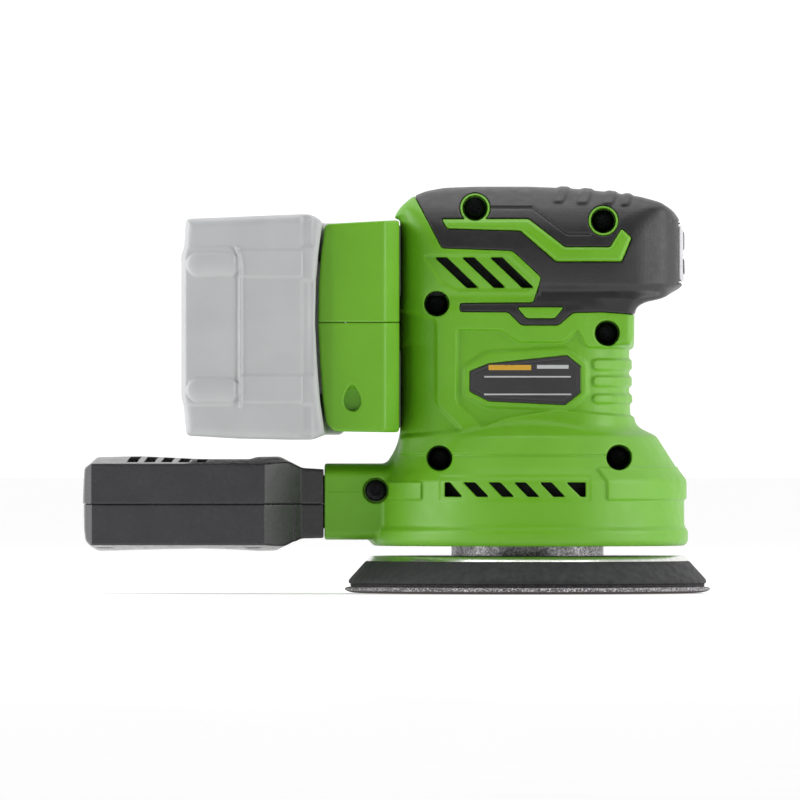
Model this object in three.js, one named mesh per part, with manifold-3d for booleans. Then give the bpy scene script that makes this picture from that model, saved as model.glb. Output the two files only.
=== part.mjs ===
// Cordless orbital sander, in millimetres, with +Z up and +X towards the nose of the grip.
// The origin is the motor axis at the working face of the abrasive disc.

import * as THREE from 'three';
import { mergeVertices } from 'three/addons/utils/BufferGeometryUtils.js';
import Module from 'manifold-3d';

const wasm = await Module();
wasm.setup();

// ---------------------------------------------------------------- driving dimensions

const GAP = 0.3;                    // clearance between neighbouring pieces
const WALL = 2.5;                   // wall of the mouldings
const GRIP_THICKNESS = 2.0;         // soft overmould

const DISC_RADIUS = 62.5;           // 125 mm abrasive disc
const ORBIT_RADIUS = 1.25;          // 2.5 mm orbit
const ORBIT_ANGLE = 1.98;           // where the eccentric stands at rest, radians about Z
const PAD_TOP = 12.8;               // top of the pad's backing plate
const HUB_RADIUS = 26;              // cast ring between pad and skirt

const SKIRT_RADIUS = 53.1;          // wall of the fan chamber
const SKIRT_BOTTOM = 16.3;
const SKIRT_TOP = 58;
const TRUNK_BACK = -43.8;           // rear wall of the motor trunk
const TRUNK_FRONT = 35.0;
const TRUNK_HALF_WIDTH = 33;
const HEAD_TOP = 139;               // highest point of the palm grip
const NOSE_FRONT = 54;              // foremost point of the grip's nose
const HEAD_BOTTOM = 90;

const DUCT_END = -69.9;             // mouth of the dust duct
const DUCT_HALF_WIDTH = 19;
const DUCT_BOTTOM = 18.1;
const DUCT_TOP = 44.3;

const COLLAR_BACK = -72;            // battery collar
const COLLAR_FRONT = -44.1;
const COLLAR_NEAR = -42;
const COLLAR_FAR = 44.5;
const COLLAR_SEAM = 92.4;

const PACK_BACK = -118.5;           // battery pack
const PACK_FRONT = -72.6;
const PACK_SEAM = -99.75;
const PACK_NEAR = -50;
const PACK_FAR = 64;
const PACK_BOTTOM = 52.4;
const PACK_TOP = 129.2;
const PACK_MIDDLE = (PACK_BOTTOM + PACK_TOP) / 2;
const CELL_RADIUS = 10.6;
const CELL_LENGTH = 68.6;

const BOX_BACK = -152.6;            // dust box
const BOX_NECK_END = -70.7;
const BOX_HALF_WIDTH = 29;
const BOX_SEAM = 30.5;

const SHAFT_RADIUS = 4;             // motor
const STATOR_RADIUS = 25;
const STATOR_BORE = 14.4;
const STATOR_BOTTOM = 55.5;
const STATOR_TOP = 80.5;
const POLE_COUNT = 6;

const WELL_RADIUS = 4.3;            // housing screws
const BOSS_RADIUS = 5.8;
const SCREW_SEAT = -17;             // y of the seat under the screw heads

// ---------------------------------------------------------------- geometry helpers

const point = (x, y) => new THREE.Vector2(x, y);

// A closed solid from any closed three.js geometry, with its faces turned outward.
function solid(geometry) {
  const bare = geometry.clone();
  bare.deleteAttribute('normal');
  bare.deleteAttribute('uv');
  const merged = mergeVertices(bare, 1e-4);
  const positions = merged.attributes.position.array;
  const triangles = [];
  for (let i = 0; i < merged.index.count; i += 3) {
    const [a, b, c] = merged.index.array.slice(i, i + 3);
    if (a !== b && b !== c && c !== a) triangles.push(a, b, c);
  }
  if (signedVolume(positions, triangles) < 0) triangles.reverse();
  return new wasm.Manifold(new wasm.Mesh({
    numProp: 3,
    vertProperties: new Float32Array(positions),
    triVerts: new Uint32Array(triangles),
  }));
}

function signedVolume(positions, triangles) {
  const corner = index => new THREE.Vector3().fromArray(positions, index * 3);
  let volume = 0;
  for (let i = 0; i < triangles.length; i += 3) {
    const [a, b, c] = [0, 1, 2].map(k => corner(triangles[i + k]));
    volume += a.dot(b.cross(c)) / 6;
  }
  return volume;
}

function geometryOf(manifold) {
  const mesh = manifold.getMesh();
  const geometry = new THREE.BufferGeometry();
  geometry.setAttribute('position', new THREE.BufferAttribute(new Float32Array(mesh.vertProperties), 3));
  geometry.setIndex(new THREE.BufferAttribute(new Uint32Array(mesh.triVerts), 1));
  geometry.computeVertexNormals();
  return geometry;
}

const union = (...parts) => parts.reduce((whole, part) => whole.add(part));
const cut = (whole, ...parts) => parts.reduce((rest, part) => rest.subtract(part), whole);
const common = (...parts) => parts.reduce((whole, part) => whole.intersect(part));

function block(minimum, maximum) {
  const low = new THREE.Vector3(...minimum);
  const high = new THREE.Vector3(...maximum);
  const size = high.clone().sub(low);
  const centre = low.clone().add(high).multiplyScalar(0.5);
  return solid(new THREE.BoxGeometry(size.x, size.y, size.z).translate(centre.x, centre.y, centre.z));
}

// A round bar along 'x', 'y' or 'z', from a start to an end coordinate on that axis.
function bar(axis, radius, start, end, centre, sides = 16) {
  const geometry = new THREE.CylinderGeometry(radius, radius, end - start, sides);
  const middle = (start + end) / 2;
  if (axis === 'x') geometry.rotateZ(Math.PI / 2).translate(middle, centre[0], centre[1]);
  if (axis === 'y') geometry.translate(centre[0], middle, centre[1]);
  if (axis === 'z') geometry.rotateX(Math.PI / 2).translate(centre[0], centre[1], middle);
  return solid(geometry);
}

// A ring or disc about Z from a closed or axis-to-axis profile of [radius, height] pairs.
function turned(profile, sides = 36) {
  const points = profile.map(([radius, height]) => point(radius, height));
  return solid(new THREE.LatheGeometry(points, sides).rotateX(Math.PI / 2));
}

function ring(inner, outer, bottom, top, sides = 32) {
  return turned([[inner, bottom], [outer, bottom], [outer, top], [inner, top], [inner, bottom]], sides);
}

// Copies of a piece in even turns about Z, the first turned by `offset` of one step.
function spokes(count, offset, piece) {
  return Array.from({ length: count }, (_, i) => piece.rotate([0, 0, (i + offset) * 360 / count]));
}

// Outlines are lists of Vector2; each prism maps them to one plane and gives them a depth.
const BASES = {
  side: [[1, 0, 0], [0, 0, 1], [0, -1, 0]],
  front: [[0, 1, 0], [0, 0, 1], [1, 0, 0]],
  plan: [[1, 0, 0], [0, 1, 0], [0, 0, 1]],
};

function prism(view, outline, start, end) {
  const geometry = new THREE.ExtrudeGeometry(new THREE.Shape(outline), {
    depth: end - start, bevelEnabled: false, curveSegments: 1,
  });
  const basis = BASES[view].map(axis => new THREE.Vector3(...axis));
  const origin = basis[2].clone().multiplyScalar(view === 'side' ? -end : start);
  geometry.applyMatrix4(new THREE.Matrix4().makeBasis(...basis).setPosition(origin));
  return solid(geometry);
}

const corners = pairs => pairs.map(([x, y]) => point(x, y));

// The outline with each corner replaced by a short curve that starts `radius` away from it.
function rounded(pairs, radius, steps = 3) {
  const outline = [];
  const points = corners(pairs);
  points.forEach((corner, i) => {
    const before = points[(i + points.length - 1) % points.length];
    const after = points[(i + 1) % points.length];
    const towards = other => {
      const reach = Math.min(radius, corner.distanceTo(other) * 0.45);
      return corner.clone().add(other.clone().sub(corner).setLength(reach));
    };
    const curve = new THREE.QuadraticBezierCurve(towards(before), corner, towards(after));
    outline.push(...curve.getPoints(steps));
  });
  return outline;
}

// The outline moved inwards by a distance, or outwards where the distance is negative.
function inset(outline, distance) {
  const turn = THREE.ShapeUtils.area(outline) > 0 ? 1 : -1;
  return outline.map((corner, i) => {
    const before = outline[(i + outline.length - 1) % outline.length];
    const after = outline[(i + 1) % outline.length];
    const normals = [[before, corner], [corner, after]].map(([from, to]) => {
      const along = to.clone().sub(from).normalize();
      return point(-along.y * turn, along.x * turn);
    });
    const middle = normals[0].clone().add(normals[1]).normalize();
    return corner.clone().addScaledVector(middle, distance / Math.max(0.5, middle.dot(normals[0])));
  });
}

function mirroredOutline(half) {
  return [...half, ...half.slice().reverse().map(([x, y]) => [x, -y])];
}

// ---------------------------------------------------------------- the assembly

const sander = new THREE.Group();
sander.name = 'orbital_sander';

const rotorGroup = new THREE.Group();
rotorGroup.rotation.z = ORBIT_ANGLE;
sander.add(rotorGroup);

const padGroup = new THREE.Group();
padGroup.position.set(
  ORBIT_RADIUS * Math.cos(ORBIT_ANGLE),
  ORBIT_RADIUS * Math.sin(ORBIT_ANGLE),
  0,
);
sander.add(padGroup);

const finish = (color, roughness, metalness = 0) => ({ color, roughness, metalness });
const GREEN = finish(0x6ba538, 0.5);
const SOFT_BLACK = finish(0x3a393b, 0.85);
const DARK_PLASTIC = finish(0x3f3e41, 0.6);
const PALE_PLASTIC = finish(0xb6b6b8, 0.5);
const RUBBER = finish(0x1f1f20, 0.9);
const STEEL = finish(0xb9bcc0, 0.35, 1);
const DARK_STEEL = finish(0x4a4c50, 0.45, 1);
const ALUMINIUM = finish(0x9d9a9c, 0.55, 1);
const COPPER = finish(0xb4652f, 0.4, 1);
const BOARD_GREEN = finish(0x1f5a3a, 0.6);

function place(name, manifold, look, { group = sander, position = [0, 0, 0], rotation = [0, 0, 0] } = {}) {
  const mesh = new THREE.Mesh(geometryOf(manifold), new THREE.MeshStandardMaterial(look));
  mesh.name = name;
  mesh.position.set(...position);
  mesh.rotation.set(...rotation);
  group.add(mesh);
}

// ---------------------------------------------------------------- housing outlines

const LIP_TIP = [-46.8, 127.8];     // the head's rear edge, which reaches over the battery collar
const HEAD_SIDE = corners([
  [TRUNK_BACK, HEAD_BOTTOM], [TRUNK_FRONT, HEAD_BOTTOM], [TRUNK_FRONT, 95.4], [37, 98.6],
  [50.4, 102.1], [53, 104.5], [NOSE_FRONT, 114], [53, 124], [50.2, 129.4], [44.6, 133.4],
  [34, 136], [18, 138], [0, HEAD_TOP], [-20, HEAD_TOP], [-32, 137.9], [-40, 135],
  LIP_TIP, [TRUNK_BACK, LIP_TIP[1]],
]);
const HEAD_FRONT = corners([
  [-31, HEAD_BOTTOM], [31, HEAD_BOTTOM], [32, 104], [32.2, 114], [30.4, 124], [25.5, 131], [17, 136],
  [8, 138.6], [0, HEAD_TOP + 0.1], [-8, 138.6], [-17, 136], [-25.5, 131], [-30.4, 124], [-32.2, 114],
  [-32, 104],
]);
const HEAD_PLAN = corners(mirroredOutline([
  [LIP_TIP[0], 23],
  [TRUNK_BACK, 27], [-38, 31], [-20, 32.2], [10, 32.2], [34, 29.5], [46, 23.5], [49.6, 18.5], [51.4, 13.8],
  [53.2, 8], [NOSE_FRONT, 3],
]));
const TRUNK_PLAN = corners(mirroredOutline([
  [TRUNK_BACK, 26], [-38, 30.5], [-24, TRUNK_HALF_WIDTH], [18, TRUNK_HALF_WIDTH], [26, 28.5], [31.5, 20],
  [34.2, 11], [TRUNK_FRONT, 4],
]));

function head(depth) {
  return common(
    prism('side', inset(HEAD_SIDE, depth), -40, 40),
    prism('front', inset(HEAD_FRONT, depth), -50, 60),
    prism('plan', inset(HEAD_PLAN, depth), 80, 150),
  );
}

const trunk = depth => prism('plan', inset(TRUNK_PLAN, depth), 44 + depth, 100 - depth);
const upperBody = depth => union(head(depth), trunk(depth));

function skirt(depth) {
  const radius = SKIRT_RADIUS - depth;
  const flange = depth > 0 ? 0 : 1.3;
  const slope = depth * 0.7;
  return turned([
    [0, SKIRT_BOTTOM - depth], [radius + flange - 1, SKIRT_BOTTOM - depth], [radius + flange, 17.8],
    [radius + flange, 21], [radius, 24], [radius, 38.6 - slope], [49.6 - depth, 42.8 - slope],
    [43 - depth, 53.2 - slope], [34.6 - depth, SKIRT_TOP - slope], [0, SKIRT_TOP - slope],
  ], 48);
}

const ductOutline = rounded([
  [-DUCT_HALF_WIDTH, DUCT_BOTTOM], [DUCT_HALF_WIDTH, DUCT_BOTTOM],
  [DUCT_HALF_WIDTH, DUCT_TOP], [-DUCT_HALF_WIDTH, DUCT_TOP],
], 5);

// ---------------------------------------------------------------- housing features

// Screw wells as [x, z], the first two passing through the soft grip.
const WELLS = [
  [-18.5, 131.4], [25.2, 127.1], [-31.6, 98.8], [26.5, 88.8], [-30.6, 46.2], [30.4, 46.4], [-52.3, 35.1],
];
const RIMMED_WELLS = 2;
const RIM_RADIUS = 5.1;

const STRIPE = corners([
  [-29.9, 127.7], [-0.3, 127.7], [12.1, 118.1], [27.5, 118.1], [31.4, 124.5], [34.8, 121.4],
  [31.4, 113.2], [9.1, 113.2], [-3.1, 123.7], [-28, 124.5],
]);
const GRIP_OUTLINE = corners([
  [-42, 146], [-38.7, 134.6], [-29.9, 117.6], [-5.7, 116.8], [4.1, 107.8], [1.4, 99.2], [-23.8, 99.0],
  [-23.8, 96.0], [-7.2, 95.9], [-2.6, 91.4], [9.9, 91.4], [14.8, 95.8], [38, 94.6], [60, 94.6], [60, 146],
]);
const ISLAND = corners([[-4.3, 99.2], [-4.3, 97.6], [-1, 93.8], [8.6, 93.8], [11.8, 97.6], [11.8, 99.2]]);

const slanted = (left, right, bottom, top, lean) => corners([
  [left, top], [right, top], [right + lean, bottom], [left + lean, bottom],
]);
const UPPER_VENTS = [-32.4, -23.2, -13.7].map(left => slanted(left, left + 4.3, 104.2, 114.5, 11.3));
const LOWER_VENTS = [-22.6, -14, -5.4, 3.3].map(left => slanted(left, left + 4.1, 33.1, 38, 4.5));
const END_VENTS = [
  corners([[-28.8, 38], [-27.1, 38], [-22.9, 33.1], [-28.8, 33.1]]),
  corners([[12.4, 38], [19.1, 38], [19.1, 33.1], [17.2, 33.1]]),
];
const NOSE_OPENING = { halfWidth: 13.5, bottom: 106.4, top: 125.9 };

const through = (outline, start = -70, end = 70) => prism('side', outline, start, end);
const noseOpening = (margin, start) => block(
  [start, -NOSE_OPENING.halfWidth - margin, NOSE_OPENING.bottom - margin],
  [60, NOSE_OPENING.halfWidth + margin, NOSE_OPENING.top + margin],
);

function housingHalves() {
  const duct = prism('front', ductOutline, DUCT_END, -40);
  const outer = union(upperBody(0), skirt(0), duct);
  const under = upperBody(GRIP_THICKNESS + GAP);
  const kept = union(
    through(inset(STRIPE, GAP)),
    through(inset(ISLAND, GAP)),
    ...WELLS.slice(0, RIMMED_WELLS).map(([x, z]) => bar('y', RIM_RADIUS, -70, 70, [x, z])),
  );
  const gripRecess = cut(through(GRIP_OUTLINE), under, kept);
  const shell = cut(outer, gripRecess);

  const wall = GRIP_THICKNESS + WALL;
  const cavity = union(
    upperBody(wall),
    cut(trunk(WALL), block([-60, -50, HEAD_BOTTOM], [60, 50, 150])),
    skirt(WALL),
    prism('front', inset(ductOutline, WALL), DUCT_END - 1, -40),
  );
  const bosses = union(...WELLS.map(([x, z]) => bar('y', BOSS_RADIUS, -70, 70, [x, z])));
  const bearingSeat = block([-14, -50, 91], [14, 50, 98]);
  const inside = union(common(bosses, outer), common(bearingSeat, trunk(1)));
  const filled = union(cut(shell, cavity), cut(inside, gripRecess));

  const screwSpace = WELLS.map(([x, z]) => union(
    bar('y', WELL_RADIUS, -70, SCREW_SEAT, [x, z]),
    bar('y', 2.2, SCREW_SEAT - 1, 16, [x, z], 12),
  ));
  const openings = [
    ...UPPER_VENTS.map(outline => through(outline)),
    ...[...LOWER_VENTS, ...END_VENTS].map(outline => (
      union(through(outline, -70, -30), through(outline, 30, 70))
    )),
    noseOpening(GAP, 47),
    bar('z', 9.4, 90.5, 98.5, [0, 0], 24),
    block([-50, -13, 80], [-38, 13, 104]),
    prism('side', inset(LABEL, -GAP), -40, -TRUNK_HALF_WIDTH + LABEL_DEPTH),
  ];
  const whole = cut(filled, ...screwSpace, ...openings);
  const half = sign => common(whole, block(
    [-80, sign < 0 ? -80 : GAP / 2, 0],
    [80, sign < 0 ? -GAP / 2 : 80, 150],
  ));
  return [half(-1), half(1)];
}

function gripHalves() {
  const skin = cut(upperBody(0), upperBody(GRIP_THICKNESS));
  const windows = union(
    through(inset(STRIPE, -GAP)),
    through(inset(ISLAND, -GAP)),
    ...WELLS.slice(0, RIMMED_WELLS).map(([x, z]) => bar('y', RIM_RADIUS + GAP, -70, 70, [x, z])),
  );
  const whole = cut(common(skin, through(inset(GRIP_OUTLINE, GAP))), windows, noseOpening(GAP, 47));
  const half = sign => common(whole, block(
    [-80, sign < 0 ? -80 : GAP / 2, 80],
    [80, sign < 0 ? -GAP / 2 : 80, 150],
  ));
  return [half(-1), half(1)];
}

// ---------------------------------------------------------------- rating plate

const LABEL = corners([
  [-20.2, 75.7], [-13.9, 78.3], [12.8, 81.1], [17.3, 77.4], [17.3, 68.7], [12.1, 64.4], [-13.9, 65.7],
  [-20.2, 69],
]);
const LABEL_DEPTH = 0.9;

// ---------------------------------------------------------------- housing and what is fixed in it

function addHousing() {
  const [right, left] = housingHalves();
  place('housing_right', right, GREEN);
  place('housing_left', left, GREEN);
  const [gripRight, gripLeft] = gripHalves();
  place('grip_right', gripRight, SOFT_BLACK);
  place('grip_left', gripLeft, SOFT_BLACK);
  const plate = common(
    prism('side', LABEL, -40, -TRUNK_HALF_WIDTH + LABEL_DEPTH - GAP),
    cut(trunk(0), trunk(LABEL_DEPTH)),
  );
  place('rating_plate', plate, DARK_PLASTIC);
}

// A screw along +Y whose head rests on y = 0, with a six-sided key recess.
function screw(length, headRadius, shankRadius) {
  const headHeight = headRadius * 0.75;
  const tip = shankRadius * 0.5;
  const body = solid(new THREE.LatheGeometry([
    point(0, -headHeight), point(headRadius * 0.7, -headHeight), point(headRadius, -headHeight * 0.6),
    point(headRadius, 0), point(shankRadius, 0), point(shankRadius, length - 2), point(tip, length),
    point(0, length),
  ], 12));
  const recess = bar('y', headRadius * 0.5, -headHeight - 1, -headHeight * 0.35, [0, 0], 6);
  return cut(body, recess);
}

function addScrews() {
  WELLS.forEach(([x, z], i) => {
    place(`housing_screw_${i + 1}`, screw(29, 3.7, 1.8), DARK_STEEL, {
      position: [x, SCREW_SEAT - GAP, z],
    });
  });
}

const BUTTONS = {
  power: { z: 120.4, halfWidth: 6.4, halfHeight: 3.5 },
  speed: { z: 111.6, halfWidth: 8.4, halfHeight: 2.9 },
};
const BUTTON_FLANGE = 1.2;

const buttonOutline = ({ z, halfWidth, halfHeight }, margin) => rounded([
  [-halfWidth - margin, z - halfHeight - margin], [halfWidth + margin, z - halfHeight - margin],
  [halfWidth + margin, z + halfHeight + margin], [-halfWidth - margin, z + halfHeight + margin],
], 3);

function addNose() {
  const { halfWidth, bottom, top } = NOSE_OPENING;
  const frame = prism('front', rounded([
    [-halfWidth, bottom], [halfWidth, bottom], [halfWidth, top], [-halfWidth, top],
  ], 3), 50.6, 56);
  const face = common(
    frame, prism('plan', inset(HEAD_PLAN, 0.1), 100, 130), prism('side', HEAD_SIDE, -20, 20),
  );
  const holes = Object.values(BUTTONS).map(button => prism('front', buttonOutline(button, GAP), 50, 57));
  place('nose_panel', cut(face, ...holes), PALE_PLASTIC);
  for (const [name, button] of Object.entries(BUTTONS)) {
    const cap = common(
      prism('front', buttonOutline(button, 0), 50, 56),
      prism('plan', inset(HEAD_PLAN, -0.3), 100, 130),
      prism('side', inset(HEAD_SIDE, -0.3), -20, 20),
    );
    const flange = prism('front', buttonOutline(button, BUTTON_FLANGE / 2), 49.2, 50.6 - GAP);
    const stem = prism('front', buttonOutline(button, -0.5), 50, 51);
    place(`${name}_button`, union(cap, flange, stem), DARK_PLASTIC);
  }
  const board = block([44.5, -12, 107], [46.1, 12, 125.4]);
  const tactile = Object.values(BUTTONS).map(({ z }) => block([46, -3, z - 2.5], [48.1, 3, z + 2.5]));
  place('switch_board', union(board, ...tactile), BOARD_GREEN);
}

function addController() {
  const board = block([-34, -22, 108], [30, 22, 109.6]);
  const coolers = [-18, 0, 18].map(x => block([x - 3, -16, 109], [x + 3, 16, 113.5]));
  const capacitor = bar('y', 5, -12, 12, [-29, 114.4], 16);
  place('controller_board', union(board, ...coolers, capacitor), BOARD_GREEN);
}

// ---------------------------------------------------------------- motor

function addMotor() {
  const yoke = ring(STATOR_RADIUS - 4, STATOR_RADIUS, STATOR_BOTTOM, STATOR_TOP, 36);
  const tooth = (halfWidth, inner, outer, bottom, top) => (
    block([inner, -halfWidth, bottom], [outer, halfWidth, top])
  );
  const shoe = common(
    ring(STATOR_BORE, STATOR_BORE + 2, STATOR_BOTTOM, STATOR_TOP, 36),
    block([0, -5.6, 0], [30, 5.6, 100]),
  );
  const pole = union(tooth(2.4, STATOR_BORE + 1, STATOR_RADIUS - 2, STATOR_BOTTOM, STATOR_TOP), shoe);
  const angles = Array.from({ length: POLE_COUNT }, (_, i) => i * 360 / POLE_COUNT);
  const poles = angles.map(angle => pole.rotate([0, 0, angle]));
  place('motor_stator', union(yoke, ...poles), DARK_STEEL);

  const coil = cut(
    common(
      tooth(4.9, STATOR_BORE + 2.4, STATOR_RADIUS - 4.4, STATOR_BOTTOM - 3, STATOR_TOP + 3),
      bar('z', STATOR_RADIUS - 4.5, 40, 95, [0, 0], 36),
    ),
    tooth(2.4 + GAP, 10, 30, STATOR_BOTTOM - GAP, STATOR_TOP + GAP),
  );
  angles.forEach((angle, i) => {
    place(`stator_coil_${i + 1}`, coil, COPPER, { rotation: [0, 0, THREE.MathUtils.degToRad(angle)] });
  });

  place('sensor_board', ring(11, 19.5, 86.8, 88.2), BOARD_GREEN);
  place('upper_bearing', bearing(SHAFT_RADIUS, 9.1, 91.8, 97.2), STEEL);
  place('lower_bearing', bearing(SHAFT_RADIUS, 10.5, 46, 52), STEEL);

  const plate = common(block([-22, -50, 46.2], [22, 50, 48.6]), bar('z', 40, 40, 60, [0, 0], 36));
  const seat = bar('z', 13.2, 45.4, 52.2, [0, 0], 24);
  const vents = [-1, 1].map(side => bar('z', 6, 40, 60, [0, side * 24], 12));
  const bore = bar('z', 10.8, 40, 60, [0, 0], 24);
  place('bearing_bracket', cut(union(plate, seat), bore, ...vents), ALUMINIUM);
}

// A shielded bearing: a ring with a shallow groove in its lower face between the races.
function bearing(shaftRadius, outerRadius, bottom, top) {
  const inner = shaftRadius + 0.1;
  const grooveIn = inner + (outerRadius - inner) * 0.35;
  const grooveOut = inner + (outerRadius - inner) * 0.75;
  return turned([
    [inner, bottom], [grooveIn, bottom], [grooveIn, bottom + 0.5], [grooveOut, bottom + 0.5],
    [grooveOut, bottom], [outerRadius, bottom], [outerRadius, top], [inner, top], [inner, bottom],
  ], 24);
}

const FAN_RADIUS = 42;
const FAN_BOTTOM = 24;
const FAN_PLATE = 36.6;
const BLADE_COUNT = 11;
const ECCENTRIC_RADIUS = 9.2;

function addRotor() {
  const inRotor = { group: rotorGroup };
  place('motor_shaft', turned([
    [0, 38.2], [SHAFT_RADIUS - 0.4, 38.2], [SHAFT_RADIUS, 38.8], [SHAFT_RADIUS, 99],
    [SHAFT_RADIUS - 0.5, 99.6],
    [0, 99.6],
  ], 20), STEEL, inRotor);
  const slots = spokes(4, 0, block([8.6, -5, 50], [10.2, 5, 90]));
  place('rotor_core', cut(
    ring(SHAFT_RADIUS + GAP, STATOR_BORE - 0.6, STATOR_BOTTOM, STATOR_TOP, 28), ...slots,
  ), DARK_STEEL, inRotor);

  const blade = block([20.5, -0.7, FAN_BOTTOM], [FAN_RADIUS - 0.8, 0.7, FAN_PLATE + 0.5]);
  const blades = spokes(BLADE_COUNT, 0.5, blade);
  const disc = bar('z', FAN_RADIUS, FAN_PLATE, FAN_PLATE + 1.4, [0, 0], 40);
  const carrier = bar('z', 12, FAN_BOTTOM, FAN_PLATE + 0.5, [ORBIT_RADIUS, 0], 24);
  const collar = bar('z', 8, FAN_PLATE, 44.2, [0, 0], 24);
  place('fan', cut(
    union(disc, carrier, collar, ...blades),
    bar('z', SHAFT_RADIUS + GAP, 37.9, 50, [0, 0], 24),
    bar('z', ECCENTRIC_RADIUS + GAP, 20, 35, [ORBIT_RADIUS, 0], 24),
  ), DARK_PLASTIC, inRotor);

  place('eccentric_bearing', bearing(5, ECCENTRIC_RADIUS, 25, 34.6), STEEL, {
    group: rotorGroup, position: [ORBIT_RADIUS, 0, 0],
  });
  const weight = cut(
    bar('z', 19.8, FAN_BOTTOM + 1, FAN_PLATE - GAP, [0, 0], 40),
    bar('z', 12 + GAP, 0, 60, [ORBIT_RADIUS, 0], 24),
    block([-6, -30, 0], [30, 30, 60]),
  );
  place('counterweight', weight, STEEL, inRotor);
}

// ---------------------------------------------------------------- fan chamber floor and brake

const FLOOR_BOTTOM = 20.6;

function addFloor() {
  const floorRadius = SKIRT_RADIUS - WALL - GAP;
  place('fan_chamber_floor', ring(18, floorRadius, FLOOR_BOTTOM, FLOOR_BOTTOM + 1.6, 44), DARK_PLASTIC);
  const ringTop = FLOOR_BOTTOM - GAP;
  place('brake_ring', turned([
    [19.6, 18.4], [23.4, 18.2], [25.2, 18.4], [25.6, ringTop], [19.2, ringTop], [19.6, 18.4],
  ], 32), RUBBER);
}

// ---------------------------------------------------------------- sanding pad, about its own axis

const HOLE_COUNT = 8;
const HOLE_CIRCLE = 32.5;
const HOLE_RADIUS = 5;

function addPad() {
  const inPad = { group: padGroup };
  const holes = (radius, bottom, top) => (
    spokes(HOLE_COUNT, 0.5, bar('z', radius, bottom, top, [HOLE_CIRCLE, 0], 10))
  );
  const channels = spokes(HOLE_COUNT, 0.5, block([16, -4, 7.4], [HOLE_CIRCLE, 4, 14]));
  place('abrasive_disc', cut(
    turned([[0, 0], [DISC_RADIUS, 0], [DISC_RADIUS, 1.1], [0, 1.1]], 48), ...holes(HOLE_RADIUS, -1, 2),
  ), finish(0x6d5a55, 0.95), inPad);
  place('hook_layer', cut(ring(9, 60.6, 1.4, 2.8, 44), ...holes(HOLE_RADIUS + 0.3, 0, 4)), RUBBER, inPad);
  place('pad_foam', cut(
    turned([[9, 3.1], [61, 3.1], [61.2, 5], [55.2, 10.8], [9, 10.8], [9, 3.1]], 44),
    ...holes(HOLE_RADIUS, 0, 12), ...channels,
  ), finish(0x3c3c3e, 0.9), inPad);
  const slots = spokes(HOLE_COUNT, 0.5, block([14.5, -3, 5], [22, 3, 20]));
  place('pad_plate', cut(
    turned([[3.2, 11.1], [55, 11.1], [53.6, PAD_TOP], [3.2, PAD_TOP], [3.2, 11.1]], 44), ...slots,
  ), finish(0x2e2f30, 0.35), inPad);

  const hubBottom = PAD_TOP + GAP;
  const hubTop = 17.9;
  const rimInner = HUB_RADIUS - 4;
  const rim = turned([
    [rimInner, hubBottom], [HUB_RADIUS, hubBottom], [HUB_RADIUS, hubTop - 0.6],
    [HUB_RADIUS - 0.6, hubTop], [rimInner, hubTop], [rimInner, hubBottom],
  ], 40);
  const arms = spokes(4, 0, block([6, -2, hubBottom], [HUB_RADIUS - 2, 2, hubTop - 1.5]));
  const boss = bar('z', 9, hubBottom, hubTop, [0, 0], 24);
  place('pad_hub', cut(union(rim, boss, ...arms), bar('z', 5.3, 10, 20, [0, 0], 24)), ALUMINIUM, inPad);
  place('pad_spindle', turned([
    [2.8, hubBottom], [5, hubBottom], [5, hubTop + GAP], [7.6, hubTop + GAP], [7.6, 20.4], [5, 20.4],
    [5, 34.4], [0, 34.4], [0, 29.5], [2.8, 29.5], [2.8, hubBottom],
  ], 20), STEEL, inPad);
  place('pad_screw', screw(16.5, 5.2, 2.4), DARK_STEEL, {
    group: padGroup, position: [0, 0, 11.1 - GAP], rotation: [Math.PI / 2, 0, 0],
  });
}

// ---------------------------------------------------------------- battery collar

const FLANGE = { back: -67.6, front: -63, halfHeight: 26.5 };
const NECK_HALF_HEIGHT = 22.5;
const RAIL_MIDDLE = 90.5;
const TERMINAL_PITCH = 9;

const around = (middle, halfHeight) => [middle - halfHeight, middle + halfHeight];

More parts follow.
